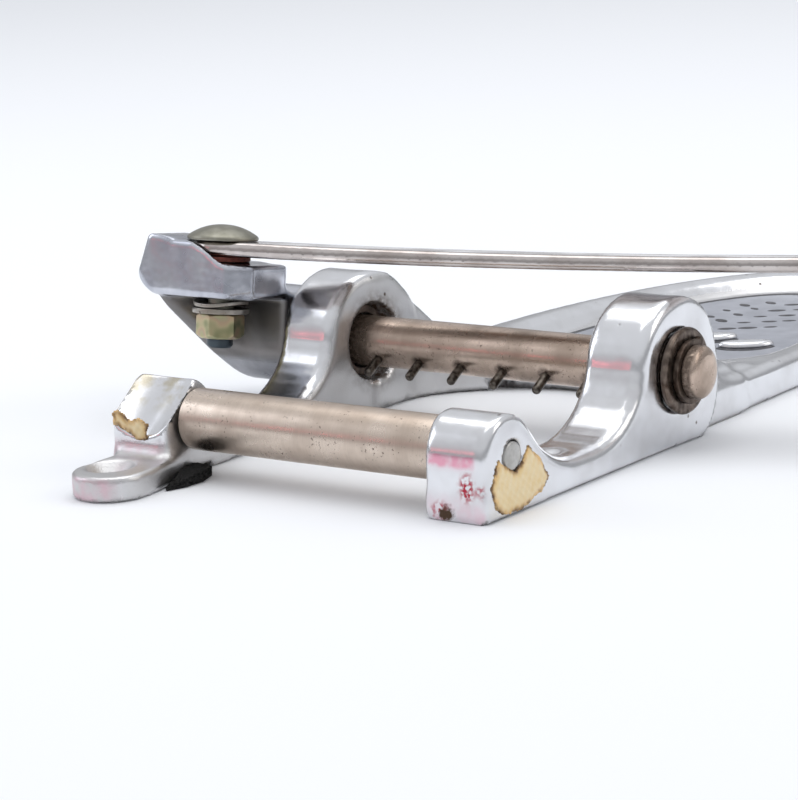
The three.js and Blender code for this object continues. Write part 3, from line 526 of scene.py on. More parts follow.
# ---------------------------------------------------------------- felt pads
# Pressed black wool felt, glued under the front posts to spare the guitar's top. The left pad has
# crept inwards and swollen into a soft lump beside the post.
felt, shader, where = new_material("pressed black wool felt")
fuzz = blotches(felt, where, 0.25, 0.3, 0.7, 4.0)
felt.node_tree.links.new(tinted(felt, fuzz, linear("#050505"), linear("#12100e")), shader.inputs["Base Color"])
shader.inputs["Roughness"].default_value = 1.0
shader.inputs["Sheen Weight"].default_value = 0.05
fuzzed = add(felt, "ShaderNodeBump", {"Height": fuzz, "Strength": 1.0, "Distance": 0.0003})
felt.node_tree.links.new(fuzzed.outputs[0], shader.inputs["Normal"])
crept_outline = [(-31, -60.5), (-31, -66.6), (-28.4, -70.6), (-28.0, -77), (-26.2, -75), (-24.8, -71), (-24.6, -66)]
crept_outline += [(-26.2, -61.5)]
pad_outline = [(-5.2, -55.5), (-5.2, -68.1), (5.2, -68.1), (5.2, -55.5)]


def felt_shape(x, y, z):
    """Both pads, with the fuzz of the wool on the part that has crept out."""
    under = slab(outline_distance(pad_outline, np.abs(x) - 37.75, y), z, 0.02, 1.05, 0.2)
    joint = slab(outline_distance([(-35, -66), (-29, -66), (-29, -60.5), (-35, -60.5)], x, y), z, 0.02, 1.05, 0.2)
    lump = slab(outline_distance(crept_outline, x, y), z, 0.02, 2.3 - 1.5 * ramp(-y, 66, 76), 0.5)
    fuzzy = 0.12 * np.sin(5.1 * x + 2 * z) * np.sin(4.3 * y) * np.sin(4.7 * z + x) * (z > 0.2)
    return np.minimum(under, np.minimum(joint, lump + fuzzy))


for side in ("left", "right"):
    pad = recast("felt_under_" + side + "_post", "felt_pad_" + side, 0.3)
    settle(pad, felt_shape, tailpiece_place, 8)
    finish_piece(pad, felt, "black_felt", "base", "felt_pad_" + side)

# ---------------------------------------------------------------- tension bar, bushes and axle
# A tube of steel turned and nickel plated, which rolls on two bronze bushes over a plain steel axle.
# The strings pass under it. The plating has gone warm grey, with fine lathe lines and small pits.
ALONG_X = Matrix(((0, 0, 1, 0), (1, 0, 0, 0), (0, 1, 0, 0), (0, 0, 0, 1)))
TENSION_RADIUS, TENSION_HALF_LENGTH = 6.15, 30.1


def rounded(points, radius, closed=False):
    """A profile with its corners rounded, as far as its edges allow."""
    out = []
    count = len(points)
    for i, point in enumerate(points):
        here = Vector(point)
        if not closed and i in (0, count - 1):
            out.append(tuple(here))
            continue
        before, after = Vector(points[i - 1]) - here, Vector(points[(i + 1) % count]) - here
        reach = min(radius, before.length * 0.45, after.length * 0.45)
        start, end = here + before.normalized() * reach, here + after.normalized() * reach
        for t in (0, 0.25, 0.5, 0.75, 1):
            out.append(tuple(start.lerp(here, t).lerp(here.lerp(end, t), t)))
    return out


def turned(name, profile, matrix, segments=96, closed=False, fine=None):
    """A profile of (radius, place) turned about Z; fine splits its long edges to that length."""
    if fine:
        split = []
        for (r0, p0), (r1, p1) in zip(profile, profile[1:]):
            parts = max(1, round(math.hypot(r1 - r0, p1 - p0) / fine))
            split += [(r0 + (r1 - r0) * i / parts, p0 + (p1 - p0) * i / parts) for i in range(parts)]
        profile = split + [profile[-1]]
    points, rings = [], []
    for radius, place in profile:
        if radius < 1e-6:
            rings.append([len(points)] * segments)
            points.append((0, 0, place))
        else:
            rings.append(list(range(len(points), len(points) + segments)))
            for i in range(segments):
                turn = 2 * math.pi * i / segments
                points.append((radius * math.cos(turn), radius * math.sin(turn), place))
    faces = []
    pairs = list(zip(rings, rings[1:])) + ([(rings[-1], rings[0])] if closed else [])
    for low, high in pairs:
        for i in range(segments):
            j = (i + 1) % segments
            corners = list(dict.fromkeys((low[i], low[j], high[j], high[i])))
            if len(corners) > 2:
                faces.append(corners)
    return drawn(name, points, faces, matrix)


def plated_steel(name, bright, dull, rough, pits_per_mm=0.28):
    """Nickel-plated steel with lathe lines round the X axis, dull patches, pits and grime."""
    material, shader, where = new_material(name)
    lines = blotches(material, where, 1.0, 0.2, 0.8, 4.0, stretch=(9.0, 0.35, 0.35))
    dulled = blotches(material, where, 7, 0.4, 0.68)
    specks = blotches(material, where, 0.55, 0.62, 0.7, 2.0)
    sparse = blotches(material, where, 5, 0.5 - pits_per_mm * 0.1, 0.62)
    speck = maths(material, "MULTIPLY", specks, sparse)
    colour = tinted(material, dulled, linear(bright), linear(dull))
    colour = tinted(material, maths(material, "MULTIPLY", lines, 0.22), colour, linear("#7c7266"))
    soiled = maths(material, "MULTIPLY", marked(material, "grime"), blotches(material, where, 1.1, 0.2, 0.55), True)
    dirt = maths(material, "MAXIMUM", maths(material, "MULTIPLY", speck, 0.75), soiled)
    colour = tinted(material, dirt, colour, linear("#3a2a1c"))
    material.node_tree.links.new(colour, shader.inputs["Base Color"])
    level = maths(material, "MULTIPLY_ADD", dulled, 0.12)
    level.node.inputs[2].default_value = rough
    level = maths(material, "MAXIMUM", level, maths(material, "MULTIPLY", dirt, 0.65))
    material.node_tree.links.new(level, shader.inputs["Roughness"])
    metal = maths(material, "SUBTRACT", 1.0, maths(material, "MULTIPLY", dirt, 0.7))
    material.node_tree.links.new(metal, shader.inputs["Metallic"])
    lathe = add(material, "ShaderNodeBump", {"Height": lines, "Strength": 0.35, "Distance": 0.00003})
    pitted = {"Height": speck, "Normal": lathe.outputs[0], "Strength": 0.5, "Distance": -0.00008}
    lathe = add(material, "ShaderNodeBump", pitted)
    material.node_tree.links.new(lathe.outputs[0], shader.inputs["Normal"])
    return material


aged_nickel = plated_steel("aged nickel plate on turned steel", "#d8c9bb", "#c0b0a2", 0.27)
at_tension = TAILPIECE @ Matrix.Translation((0, TENSION_Y, TENSION_HEIGHT)) @ ALONG_X
half = TENSION_HALF_LENGTH
tube = [(3.95, -half), (TENSION_RADIUS, -half), (TENSION_RADIUS, half), (3.95, half), (3.95, 23.1), (3.4, 23.1)]
tube += [(3.4, -23.1), (3.95, -23.1)]
bar = turned("tension_tube", rounded(tube, 0.45, True), at_tension, closed=True)
finish_piece(bar, aged_nickel, "brushed_nickel", "roller", "tension_bar")

# Sintered bronze, dark with oil.
bronze, shader, where = new_material("oiled sintered bronze")
mottle = blotches(bronze, where, 0.3, 0.3, 0.7)
bronze.node_tree.links.new(tinted(bronze, mottle, linear("#7d5f38"), linear("#9c7b4c")), shader.inputs["Base Color"])
shader.inputs["Metallic"].default_value = 1.0
shader.inputs["Roughness"].default_value = 0.5
for side, low in (("left", -half + 0.1), ("right", half - 6.9)):
    ring = [(2.86, low), (3.9, low), (3.9, low + 6.8), (2.86, low + 6.8)]
    bush = turned("bronze_bush_" + side, rounded(ring, 0.15, True), at_tension, 64, True)
    finish_piece(bush, bronze, "bronze", "roller", "tension_bush_" + side)

axle_steel = plated_steel("plain bright steel, dulled", "#dadad8", "#bcbbb7", 0.34, 0.6)
axle = turned("axle_of_tension_bar", rounded([(0, -44.6), (2.8, -44.6), (2.8, 44.6), (0, 44.6)], 0.5), at_tension, 64, fine=1)
from_end = 44.6 - np.abs(places_and_normals(axle)[0][0])
mark(axle, "grime", ramp(-from_end, -1.6, -0.2) * 0.2)
finish_piece(axle, axle_steel, "bright_steel", "base", "tension_axle")

# ---------------------------------------------------------------- needle bearings
# Each tower holds a drawn steel cup pressed into its bore, with ten needles in a cage. Oil and damp
# have left the cups brown.
RUST = ("#54443a", "#2e2621", "#94867b")


def browned_steel(name, rough, shine):
    """Steel with a thin even rust that has been rubbed back to metal on its crests."""
    material, shader, where = new_material(name)
    coarse = blotches(material, where, 4.0, 0.3, 0.7)
    fine = blotches(material, where, 1.6, 0.35, 0.75)
    colour = tinted(material, coarse, linear(RUST[0]), linear(RUST[1]))
    colour = tinted(material, maths(material, "MULTIPLY", fine, shine), colour, linear(RUST[2]))
    material.node_tree.links.new(colour, shader.inputs["Base Color"])
    level = maths(material, "MULTIPLY_ADD", coarse, 0.22)
    level.node.inputs[2].default_value = rough
    material.node_tree.links.new(level, shader.inputs["Roughness"])
    shader.inputs["Metallic"].default_value = 0.85
    rusted = add(material, "ShaderNodeBump", {"Height": fine, "Strength": 0.2, "Distance": 0.00003})
    material.node_tree.links.new(rusted.outputs[0], shader.inputs["Normal"])
    return material


rusted_steel = browned_steel("thinly rusted steel", 0.32, 0.5)
needle_steel = plated_steel("hardened bright steel", "#a5a29c", "#8a867e", 0.25)
cup = [(5.9, 33.2), (7.6, 33.2), (7.6, 43.6), (5.9, 43.6), (5.9, 42.8), (6.9, 42.8), (6.9, 34), (5.9, 34)]
for name, side in (("left", -1), ("right", 1)):
    at_tower = TAILPIECE @ Matrix.Translation((0, 0, SHAFT_HEIGHT)) @ Matrix.Diagonal((side, 1, 1, 1)) @ ALONG_X
    shell = turned("bearing_cup_shell_" + name, rounded(cup, 0.3, True), at_tower, 72, True)
    shell_mesh = bmesh.new()
    shell_mesh.from_mesh(shell.data)
    bmesh.ops.recalc_face_normals(shell_mesh, faces=shell_mesh.faces)
    shell_mesh.to_mesh(shell.data)
    shell_mesh.free()
    finish_piece(shell, rusted_steel, "rusty_steel", "base", "bearing_cup_" + name)
    nodes["needle_cage_" + name].data.materials[0] = needle_steel

# ---------------------------------------------------------------- rocking shaft
# A solid steel bar, ground and nickel plated. It runs through both towers, and string pins are
# driven into it. Its near end is slightly domed and browned by handling; a ring sits in its groove.
REST_TILT = 8
ROCKER = Matrix.Translation((0, -SEAT_Y * MM, SHAFT_HEIGHT * MM)) @ Matrix.Rotation(math.radians(-REST_TILT), 4, "X")
ROCKER = ROCKER @ Matrix.Scale(MM, 4)
SHAFT_RADIUS, SHAFT_LEFT, SHAFT_RIGHT = 5.4, -60.4, 51.1
STRING_PITCH, PIN_DROP = 10.5, 39
PIN_RADIUS, PIN_ROOT, PIN_TIP = 0.95, 3.2, 10.3


def rocker_place(points):
    """Row frame in metres to millimetres in the rocking bracket's own frame."""
    x, y, z = tailpiece_place(points).T
    z = z - SHAFT_HEIGHT
    c, s = math.cos(math.radians(REST_TILT)), math.sin(math.radians(REST_TILT))
    return np.stack([x, y * c - z * s, y * s + z * c], 1)


def rocker_points(piece):
    points = np.zeros(len(piece.data.vertices) * 3)
    piece.data.vertices.foreach_get("co", points)
    return rocker_place(points.reshape(-1, 3)).T


shaft_nickel = plated_steel("worn nickel plate on ground steel", "#cdb9aa", "#ac9a8c", 0.22, 0.5)
profile = [(0, SHAFT_LEFT), (5.2, SHAFT_LEFT), (SHAFT_RADIUS, SHAFT_LEFT + 0.4), (SHAFT_RADIUS, 46.65)]
profile += [(4.7, 46.65), (4.7, 48), (SHAFT_RADIUS, 48), (SHAFT_RADIUS, SHAFT_RIGHT - 1.7)]
for turn in range(15, 90, 15):
    dome_radius = SHAFT_RADIUS * math.cos(math.radians(turn)) ** 0.6
    profile.append((dome_radius, SHAFT_RIGHT - 1.7 + 1.7 * math.sin(math.radians(turn))))
profile.append((0, SHAFT_RIGHT))
shaft = turned("rocking_shaft", rounded(profile, 0.3), ROCKER @ ALONG_X, 96, fine=0.5)
sx, sy, sz = rocker_points(shaft)
pin_places = [(i - 2.5) * STRING_PITCH for i in range(6)]
aim = (-math.cos(math.radians(PIN_DROP)), -math.sin(math.radians(PIN_DROP)))
grime = ramp(-sx, 27, 32) * 0.9
for place in pin_places:
    away = np.sqrt((sx - place) ** 2 + (sy - aim[0] * 5.4) ** 2 + (sz - aim[1] * 5.4) ** 2)
    grime = np.maximum(grime, ramp(-away, -2.4, -1.0))
grime = np.maximum(grime, ramp(sx, 43, 45.5) * ramp(-sx, -50.3, -49.6) * 0.8)
mark(shaft, "grime", grime)
finish_piece(shaft, shaft_nickel, "brushed_nickel", "rocker", "main_shaft")

# ---------------------------------------------------------------- string pins
# Six short pins of oil-blacked steel, driven into cross holes in the shaft at the string spacing.
# Their tips are worn bright by the strings' ball ends.
pin_steel, shader, where = new_material("blacked steel, worn at the tip")
rubbed = blotches(pin_steel, where, 1.3, 0.4, 0.65)
colour = tinted(pin_steel, rubbed, linear("#3a342f"), linear("#7e7870"))
pin_steel.node_tree.links.new(colour, shader.inputs["Base Color"])
shader.inputs["Metallic"].default_value = 1.0
shader.inputs["Roughness"].default_value = 0.32
length = PIN_TIP - PIN_ROOT
pin = [(0, 0), (PIN_RADIUS, 0), (PIN_RADIUS, length - 0.5), (PIN_RADIUS - 0.35, length), (0, length)]
pin = turned("pin", rounded(pin, 0.25), Matrix.Scale(MM, 4), 28)
pins = strewn("string_pins", pin, [(place, 0, 0, 0, 1) for place in pin_places], pin_steel, Matrix.Scale(MM, 4))
lean = Matrix.Rotation(math.radians(90 + PIN_DROP), 4, "X")
for vertex in pins.data.vertices:
    place = min(pin_places, key=lambda x: abs(x - vertex.co.x / MM))
    local = vertex.co / MM - Vector((place, 0, 0))
    along = local.z + PIN_ROOT
    vertex.co = ROCKER @ Vector((place + local.x, aim[0] * along - aim[1] * local.y, aim[1] * along + aim[0] * local.y))
turned_pins = bmesh.new()
turned_pins.from_mesh(pins.data)
bmesh.ops.recalc_face_normals(turned_pins, faces=turned_pins.faces)
turned_pins.to_mesh(pins.data)
turned_pins.free()
finish_piece(pins, pin_steel, "dark_steel", "rocker", *["string_pin_" + str(i) for i in range(1, 7)])

# ---------------------------------------------------------------- thrust washers and ring
# A thick turned washer runs against the near tower, held by a spring ring in the shaft's groove; a
# thin one keeps the bracket off the far tower. All are steel with a thin brown rust.
washer_steel = browned_steel("browned steel, rubbed on its crests", 0.2, 0.75)
for name, low, high, edge in (("right", 45.0, 46.5, 0.7), ("left", -45.9, -45.0, 0.3)):
    ring = rounded([(5.6, low), (8.75, low), (8.75, high), (5.6, high)], edge, True)
    washer = turned("thrust_washer_ring_" + name, ring, ROCKER @ ALONG_X, 96, True)
    finish_piece(washer, washer_steel, "rusty_steel", "rocker", "thrust_washer_" + name)
circlip = recast("spring_ring", "retaining_ring", 0.16)
soften = circlip.modifiers.new("soften", "SMOOTH")
soften.iterations = 3
bake(circlip)
finish_piece(circlip, rusted_steel, "rusty_steel", "rocker", "retaining_ring")

# ---------------------------------------------------------------- handle bracket
# An aluminium casting clamped on the shaft's far end by two set screws. Its block carries the handle
# on a bolt, and its wall wraps the handle's end. It is buffed brighter than the frame.
BLOCK_FRONT, BLOCK_REAR, BLOCK_STEP, BLOCK_BOTTOM, BLOCK_LEFT, WALL_TOP = -26.5, -10.5, 15.8, 8, -74.6, 21.4
UNDER_HEAD = 20.2
HUB_RADIUS, HUB_START, HUB_END = 10.6, -46.3, -61
PIVOT_X, PIVOT_Y = -57, -19.5
front_outline = [(-11.6, HUB_START), (22.4, HUB_START), (22.4, BLOCK_LEFT + 3.4), (20.4, BLOCK_LEFT + 2.4)]
front_outline += [(13, BLOCK_LEFT), *bezier((13, BLOCK_LEFT), (10.4, BLOCK_LEFT), (8.6, BLOCK_LEFT + 3.4))]
front_outline += [(7.8, BLOCK_LEFT + 5)]
front_outline += [(-4, BLOCK_LEFT + 8.2), *bezier((-4, BLOCK_LEFT + 8.2), (-9, BLOCK_LEFT + 10.4), (-11.6, HUB_END))]
side_outline = [(BLOCK_FRONT, BLOCK_BOTTOM), (BLOCK_FRONT, WALL_TOP), (BLOCK_REAR, WALL_TOP), (BLOCK_REAR, 11.5)]
side_outline += bezier((BLOCK_REAR, 11.5), (-10.1, 9.2), (-5.3, 9.2))
side_outline += arc(0, 0, HUB_RADIUS, HUB_RADIUS, 120, -128, 30)
pocket_outline = [(-40, -32.5), (BLOCK_LEFT + 2.2, -32.5), (BLOCK_LEFT + 5, BLOCK_FRONT), (-61.1, -14)]
pocket_outline += [*bezier((-61.1, -14), (-59, -10.9), (-54, -10.9)), (-40, -10.9)]
reach = 6.35
step_outline = [(PIVOT_X, PIVOT_Y - reach), (-40, PIVOT_Y - reach), (-40, 20), (-80, 20), (-80, -14.5)]
step_outline += [(PIVOT_X - reach - 0.8, -14.5), *arc(PIVOT_X, PIVOT_Y, reach, reach, 180, 270, 12)]
fall_outline = [(30, -40), (BLOCK_STEP, -40), (BLOCK_STEP, -48.6)]
fall_outline += bezier((BLOCK_STEP, -48.6), (16, -53.8), (UNDER_HEAD - 1.2, -54.4), (UNDER_HEAD, -59.5))
fall_outline += [(UNDER_HEAD, -65), *bezier((UNDER_HEAD, -65), (21.2, -67), (WALL_TOP, -72)), (30, -80)]


def bracket_shape(x, y, z):
    across = outline_distance(front_outline, z, x)
    along = outline_distance(side_outline, y, z)
    body = shared(across, along, 1.0 + 7 * ramp(x, -55, -48) * ramp(-y, 20, 24))
    pocket = shared(outline_distance(pocket_outline, x, y), z - BLOCK_BOTTOM, 1.0)
    step = shared(outline_distance(step_outline, x, y), BLOCK_STEP - z, 0.4)
    fall = outline_distance(fall_outline, z, x)
    bore = np.hypot(y, z) - 5.5
    bolt = np.hypot(x - PIVOT_X, y - PIVOT_Y) - 3
    lean = math.radians(20)
    aside = y * math.sin(lean) - z * -math.cos(lean)
    screws = np.minimum(np.hypot(x + 50.5, aside), np.hypot(x + 56.5, aside)) - 2.5
    screws = np.maximum(screws, 4 - y)
    for cutter, edge in ((pocket, 1.6), (step, 1.0), (fall, 1.4), (bore, 0.6), (bolt, 0.4), (screws, 0.5)):
        body = shared(body, -cutter, edge)
    return body


# Buffed cast aluminium: the frame's alloy, cooler and darker where grey buffing paste lies on it.
buffed_aluminium, shader, where = new_material("buffed cast aluminium")
pasty = blotches(buffed_aluminium, where, 8, 0.38, 0.66)
streaks = blotches(buffed_aluminium, where, 2.4, 0.3, 0.75, 4.0, stretch=(1.0, 1.0, 0.35))
colour = tinted(buffed_aluminium, pasty, linear("#dadce3"), linear("#b0b3bc"))
colour = tinted(buffed_aluminium, maths(buffed_aluminium, "MULTIPLY", streaks, 0.3), colour, linear("#8d9099"))
hidden = marked(buffed_aluminium, "satin")
colour = tinted(buffed_aluminium, hidden, colour, linear("#7d7975"))
buffed_aluminium.node_tree.links.new(colour, shader.inputs["Base Color"])
shader.inputs["Metallic"].default_value = 1.0
level = maths(buffed_aluminium, "MULTIPLY_ADD", pasty, 0.12)
level.node.inputs[2].default_value = 0.16
level = maths(buffed_aluminium, "MAXIMUM", level, maths(buffed_aluminium, "MULTIPLY", hidden, 0.5))
buffed_aluminium.node_tree.links.new(level, shader.inputs["Roughness"])
waves = add(buffed_aluminium, "ShaderNodeTexNoise", {"Vector": where, "Scale": 90.0, "Detail": 3.0})
waved = add(buffed_aluminium, "ShaderNodeBump", {"Height": waves.outputs["Fac"], "Strength": 0.6, "Distance": 0.0006})
buffed_aluminium.node_tree.links.new(waved.outputs[0], shader.inputs["Normal"])
bracket = recast("handle_bracket", "arm_bracket", 0.55)
settle(bracket, bracket_shape, rocker_place)
bx, by, bz = rocker_points(bracket)
mark(bracket, "satin", ramp(-bz, -8.4, -7.4) * (0.45 + 0.45 * ramp(-by, 9, 11)))
finish_piece(bracket, buffed_aluminium, "polished_aluminium", "rocker", "arm_bracket")
for number in (1, 2):
    screw = recast("set_screw_" + str(number), "bracket_screw_" + str(number), 0.2)
    finish_piece(screw, pin_steel, "dark_steel", "rocker", "bracket_screw_" + str(number))

# ---------------------------------------------------------------- handle
# A flat aluminium bar, stamped, bent slightly upwards and mirror polished, with a round end at the
# pivot and a wider paddle. It swivels stiffly on its bolt and is pushed and pulled by hand.
ARM_SWING, ARM_BEND, ARM_LENGTH = 15, 2300, 180.9
ARM_BOTTOM, ARM_TOP = 17.1, 20.2
stations = [(14, 6.6), (28, 6.9), (96, 6.9), (112, 7.0), (128, 7.4), (144, 8.0), (158, 8.6), (172.4, 8.6)]
arm_outline = arc(0, 0, 6, 6, 80, 280, 18) + [(s, -half_width) for s, half_width in stations]
arm_outline += arc(ARM_LENGTH - 8.6, 0, 8.6, 8.6, -80, 80, 18) + [(s, h) for s, h in stations[::-1]]


def arm_shape(x, y, z):
    c, s = math.cos(math.radians(ARM_SWING)), math.sin(math.radians(ARM_SWING))
    x, y = x - PIVOT_X, y - PIVOT_Y
    along, aside = x * c + y * s, y * c - x * s
    z = z - np.maximum(along, 0) ** 2 / (2 * ARM_BEND)
    bar = slab(outline_distance(arm_outline, along, aside), z, ARM_BOTTOM, ARM_TOP, 1.1)
    return shared(bar, 2.9 - np.hypot(along, aside), 0.3)


polished_bar, shader, where = new_material("mirror-polished aluminium bar")
smeared = blotches(polished_bar, where, 10, 0.4, 0.7)
colour = tinted(polished_bar, smeared, linear("#cfc8c4"), linear("#b3a9a4"))
polished_bar.node_tree.links.new(colour, shader.inputs["Base Color"])
shader.inputs["Metallic"].default_value = 1.0
level = maths(polished_bar, "MULTIPLY_ADD", smeared, 0.08)
level.node.inputs[2].default_value = 0.14
polished_bar.node_tree.links.new(level, shader.inputs["Roughness"])
waves = add(polished_bar, "ShaderNodeTexNoise", {"Vector": where, "Scale": 60.0, "Detail": 1.0})
waved = add(polished_bar, "ShaderNodeBump", {"Height": waves.outputs["Fac"], "Strength": 0.5, "Distance": 0.0004})
polished_bar.node_tree.links.new(waved.outputs[0], shader.inputs["Normal"])
handle = recast("handle_bar", "arm", 0.6)
settle(handle, arm_shape, rocker_place)
finish_piece(handle, polished_bar, "polished_aluminium", "handle", "arm")

# ---------------------------------------------------------------- pivot bolt, washers and nut
# A dome-headed steel bolt with dull nickel plate holds the handle down on a red fibre washer. Under
# the block it takes a wavy spring washer, a flat washer and a yellow-passivated hexagon nut.
AT_PIVOT = ROCKER @ Matrix.Translation((PIVOT_X, PIVOT_Y, 0))
dull_nickel, shader, where = new_material("dull nickel plate")
mottled = blotches(dull_nickel, where, 2.5, 0.35, 0.7)
colour = tinted(dull_nickel, mottled, linear("#9b998d"), linear("#838175"))
colour = tinted(dull_nickel, marked(dull_nickel, "thread"), colour, linear("#4d565c"))
dull_nickel.node_tree.links.new(colour, shader.inputs["Base Color"])
shader.inputs["Metallic"].default_value = 1.0
shader.inputs["Roughness"].default_value = 0.4
ground = blotches(dull_nickel, where, 0.3, 0.3, 0.7)
grained = add(dull_nickel, "ShaderNodeBump", {"Height": ground, "Strength": 0.3, "Distance": 0.00003})
dull_nickel.node_tree.links.new(grained.outputs[0], shader.inputs["Normal"])
head_base, head_radius, head_height = ARM_TOP + 0.15, 7.6, 3.25
dome = [(head_radius * r, head_base + 0.75 + (head_height - 0.75) * (1 - r**2.2)) for r in np.linspace(0.96, 0.08, 14)]
bolt = [(0, -2.6), (2.3, -2.6), (2.8, -2.0), (2.8, head_base), (7.4, head_base), (head_radius, head_base + 0.25)]
bolt += [(head_radius, head_base + 0.55), *dome, (0, head_base + head_height)]
bolt = turned("dome_head_bolt", bolt, AT_PIVOT, 96, fine=1)
mark(bolt, "thread", ramp(-rocker_points(bolt)[2], -5, -3))
finish_piece(bolt, dull_nickel, "domed_nickel", "rocker", "pivot_bolt")

fibre, shader, where = new_material("red vulcanised fibre")
strands = blotches(fibre, where, 0.6, 0.3, 0.7)
fibre.node_tree.links.new(tinted(fibre, strands, linear("#5a2a20"), linear("#84463a")), shader.inputs["Base Color"])
shader.inputs["Roughness"].default_value = 0.75
low = BLOCK_STEP + 0.15
fibre_ring = rounded([(3.1, low), (6, low), (6, low + 1), (3.1, low + 1)], 0.15, True)
fibre_washer = turned("red_fibre_washer", fibre_ring, AT_PIVOT, 72, True)
finish_piece(fibre_washer, fibre, "red_fibre", "rocker", "fibre_washer")

washer_zinc = plated_steel("bright zinc plate", "#bdb9b2", "#9b948a", 0.3)
flat_ring = rounded([(3.05, 4.8), (6.1, 4.8), (6.1, 5.9), (3.05, 5.9)], 0.25, True)
flat_washer = turned("flat_washer_ring", flat_ring, AT_PIVOT, 72, True)
finish_piece(flat_washer, washer_zinc, "bright_steel", "rocker", "flat_washer")
wave_ring = rounded([(3.1, 6.1), (5.9, 6.1), (5.9, 6.9), (3.1, 6.9)], 0.2, True)
wave_washer = turned("wavy_spring_washer", wave_ring, Matrix.Identity(4), 72, True)
for vertex in wave_washer.data.vertices:
    vertex.co.z += 0.8 * (vertex.co.x / 5.9) ** 2
wave_washer.data.transform(AT_PIVOT)
finish_piece(wave_washer, washer_zinc, "bright_steel", "rocker", "spring_washer")

# Yellow chromate over zinc: gold that drifts to green and rose with the film's thickness.
yellow_zinc, shader, where = new_material("yellow-passivated zinc")
film = add(yellow_zinc, "ShaderNodeTexNoise", {"Vector": where, "Scale": 260.0, "Detail": 1.0})
tones = add(yellow_zinc, "ShaderNodeValToRGB", {"Fac": film.outputs["Fac"]})
FILM = ((0.3, "#8d9270"), (0.42, "#cdc39c"), (0.52, "#c4a48e"), (0.62, "#b4ba98"), (0.75, "#c9ae74"))
for place, _ in FILM[1:-1]:
    tones.color_ramp.elements.new(place)
tones.color_ramp.interpolation = "B_SPLINE"
for stop, (place, tone) in zip(tones.color_ramp.elements, FILM):
    stop.position, stop.color = place, linear(tone)
yellow_zinc.node_tree.links.new(tones.outputs[0], shader.inputs["Base Color"])
shader.inputs["Metallic"].default_value = 1.0
shader.inputs["Roughness"].default_value = 0.3
nut = recast("hexagon_nut", "pivot_nut", 0.17)
soften = nut.modifiers.new("soften", "SMOOTH")
soften.iterations = 2
bake(nut)
finish_piece(nut, yellow_zinc, "zinc_yellow", "rocker", "pivot_nut")

# ---------------------------------------------------------------- old lacquer
# Amber lacquer has run over the near post's outer face below the axle and crusted brown at its edge;
# a smaller patch of it sits on the far post's front.
lacquer, shader, where = new_material("aged amber lacquer")
edge = marked(lacquer, "edge")
flecks = blotches(lacquer, where, 3.0, 0.35, 0.7)
colour = tinted(lacquer, flecks, linear("#ecd8ac"), linear("#e6cb94"))
colour = tinted(lacquer, maths(lacquer, "MULTIPLY", edge, 0.6), colour, linear("#e0a850"))
crust = maths(lacquer, "MULTIPLY", maths(lacquer, "POWER", edge, 2.5), blotches(lacquer, where, 2.0, 0.42, 0.55))
colour = tinted(lacquer, crust, colour, linear("#6b4a20"))
lacquer.node_tree.links.new(colour, shader.inputs["Base Color"])
shader.inputs["Roughness"].default_value = 0.3
shader.inputs["Coat Weight"].default_value = 0.4
shader.inputs["Coat Roughness"].default_value = 0.15


def lacquer_run(name, outline, spacing, depth, seat):
    """A film over an outline in (u, v), thin at its ragged edge; seat maps u, v, height to x, y, z."""
    us = np.arange(min(p[0] for p in outline) - 1, max(p[0] for p in outline) + 1, spacing)
    vs = np.arange(min(p[1] for p in outline) - 1, max(p[1] for p in outline) + 1, spacing)
    u, v = np.meshgrid(us, vs, indexing="ij")
    ragged = 0.25 * np.sin(1.1 * u + 0.9 * v) * np.sin(0.9 * v - 0.6 * u) + 0.08 * np.sin(3.1 * u) * np.sin(2.7 * v)
    inside = ragged - outline_distance(outline, u, v)
    kept = inside > 0
    rise = depth * (0.25 + 0.75 * ramp(inside, 0, 1.6)) + 0.09 * np.sin(3.3 * u + v) * np.sin(2.9 * v)
    rise += 0.16 * ramp(-inside, -1.0, -0.35) * (0.5 + 0.5 * np.sin(6 * u + 5 * v))
    points, index, edges = [], {}, []
    for i, j in np.argwhere(kept):
        for level, height in ((0, -0.15), (1, float(rise[i, j]))):
            index[i, j, level] = len(points)
            points.append(seat(u[i, j], v[i, j], height))
            edges.append(1 - float(ramp(inside[i, j], 0.15, 1.5)))
    faces, rims = [], {}
    for i, j in np.argwhere(kept[:-1, :-1] & kept[1:, :-1] & kept[:-1, 1:] & kept[1:, 1:]):
        square = ((i, j), (i + 1, j), (i + 1, j + 1), (i, j + 1))
        faces.append([index[*corner, 1] for corner in square])
        faces.append([index[*corner, 0] for corner in square[::-1]])
        for a, b in zip(square, square[1:] + square[:1]):
            rims[a, b] = True
    for a, b in rims:
        if (b, a) not in rims:
            faces.append([index[*b, 1], index[*a, 1], index[*a, 0], index[*b, 0]])
    mesh = bpy.data.meshes.new(name)
    mesh.from_pydata(points, [], faces)
    piece = bpy.data.objects.new(name, mesh)
    bpy.context.scene.collection.objects.link(piece)
    mark(piece, "edge", np.array(edges))
    mesh.transform(TAILPIECE)
    tidy = bmesh.new()
    tidy.from_mesh(mesh)
    loose = [v for v in tidy.verts if not v.link_faces]
    bmesh.ops.delete(tidy, geom=loose, context="VERTS")
    bmesh.ops.recalc_face_normals(tidy, faces=tidy.faces)
    tidy.to_mesh(mesh)
    tidy.free()
    mesh.polygons.foreach_set("use_smooth", [True] * len(mesh.polygons))
    return piece


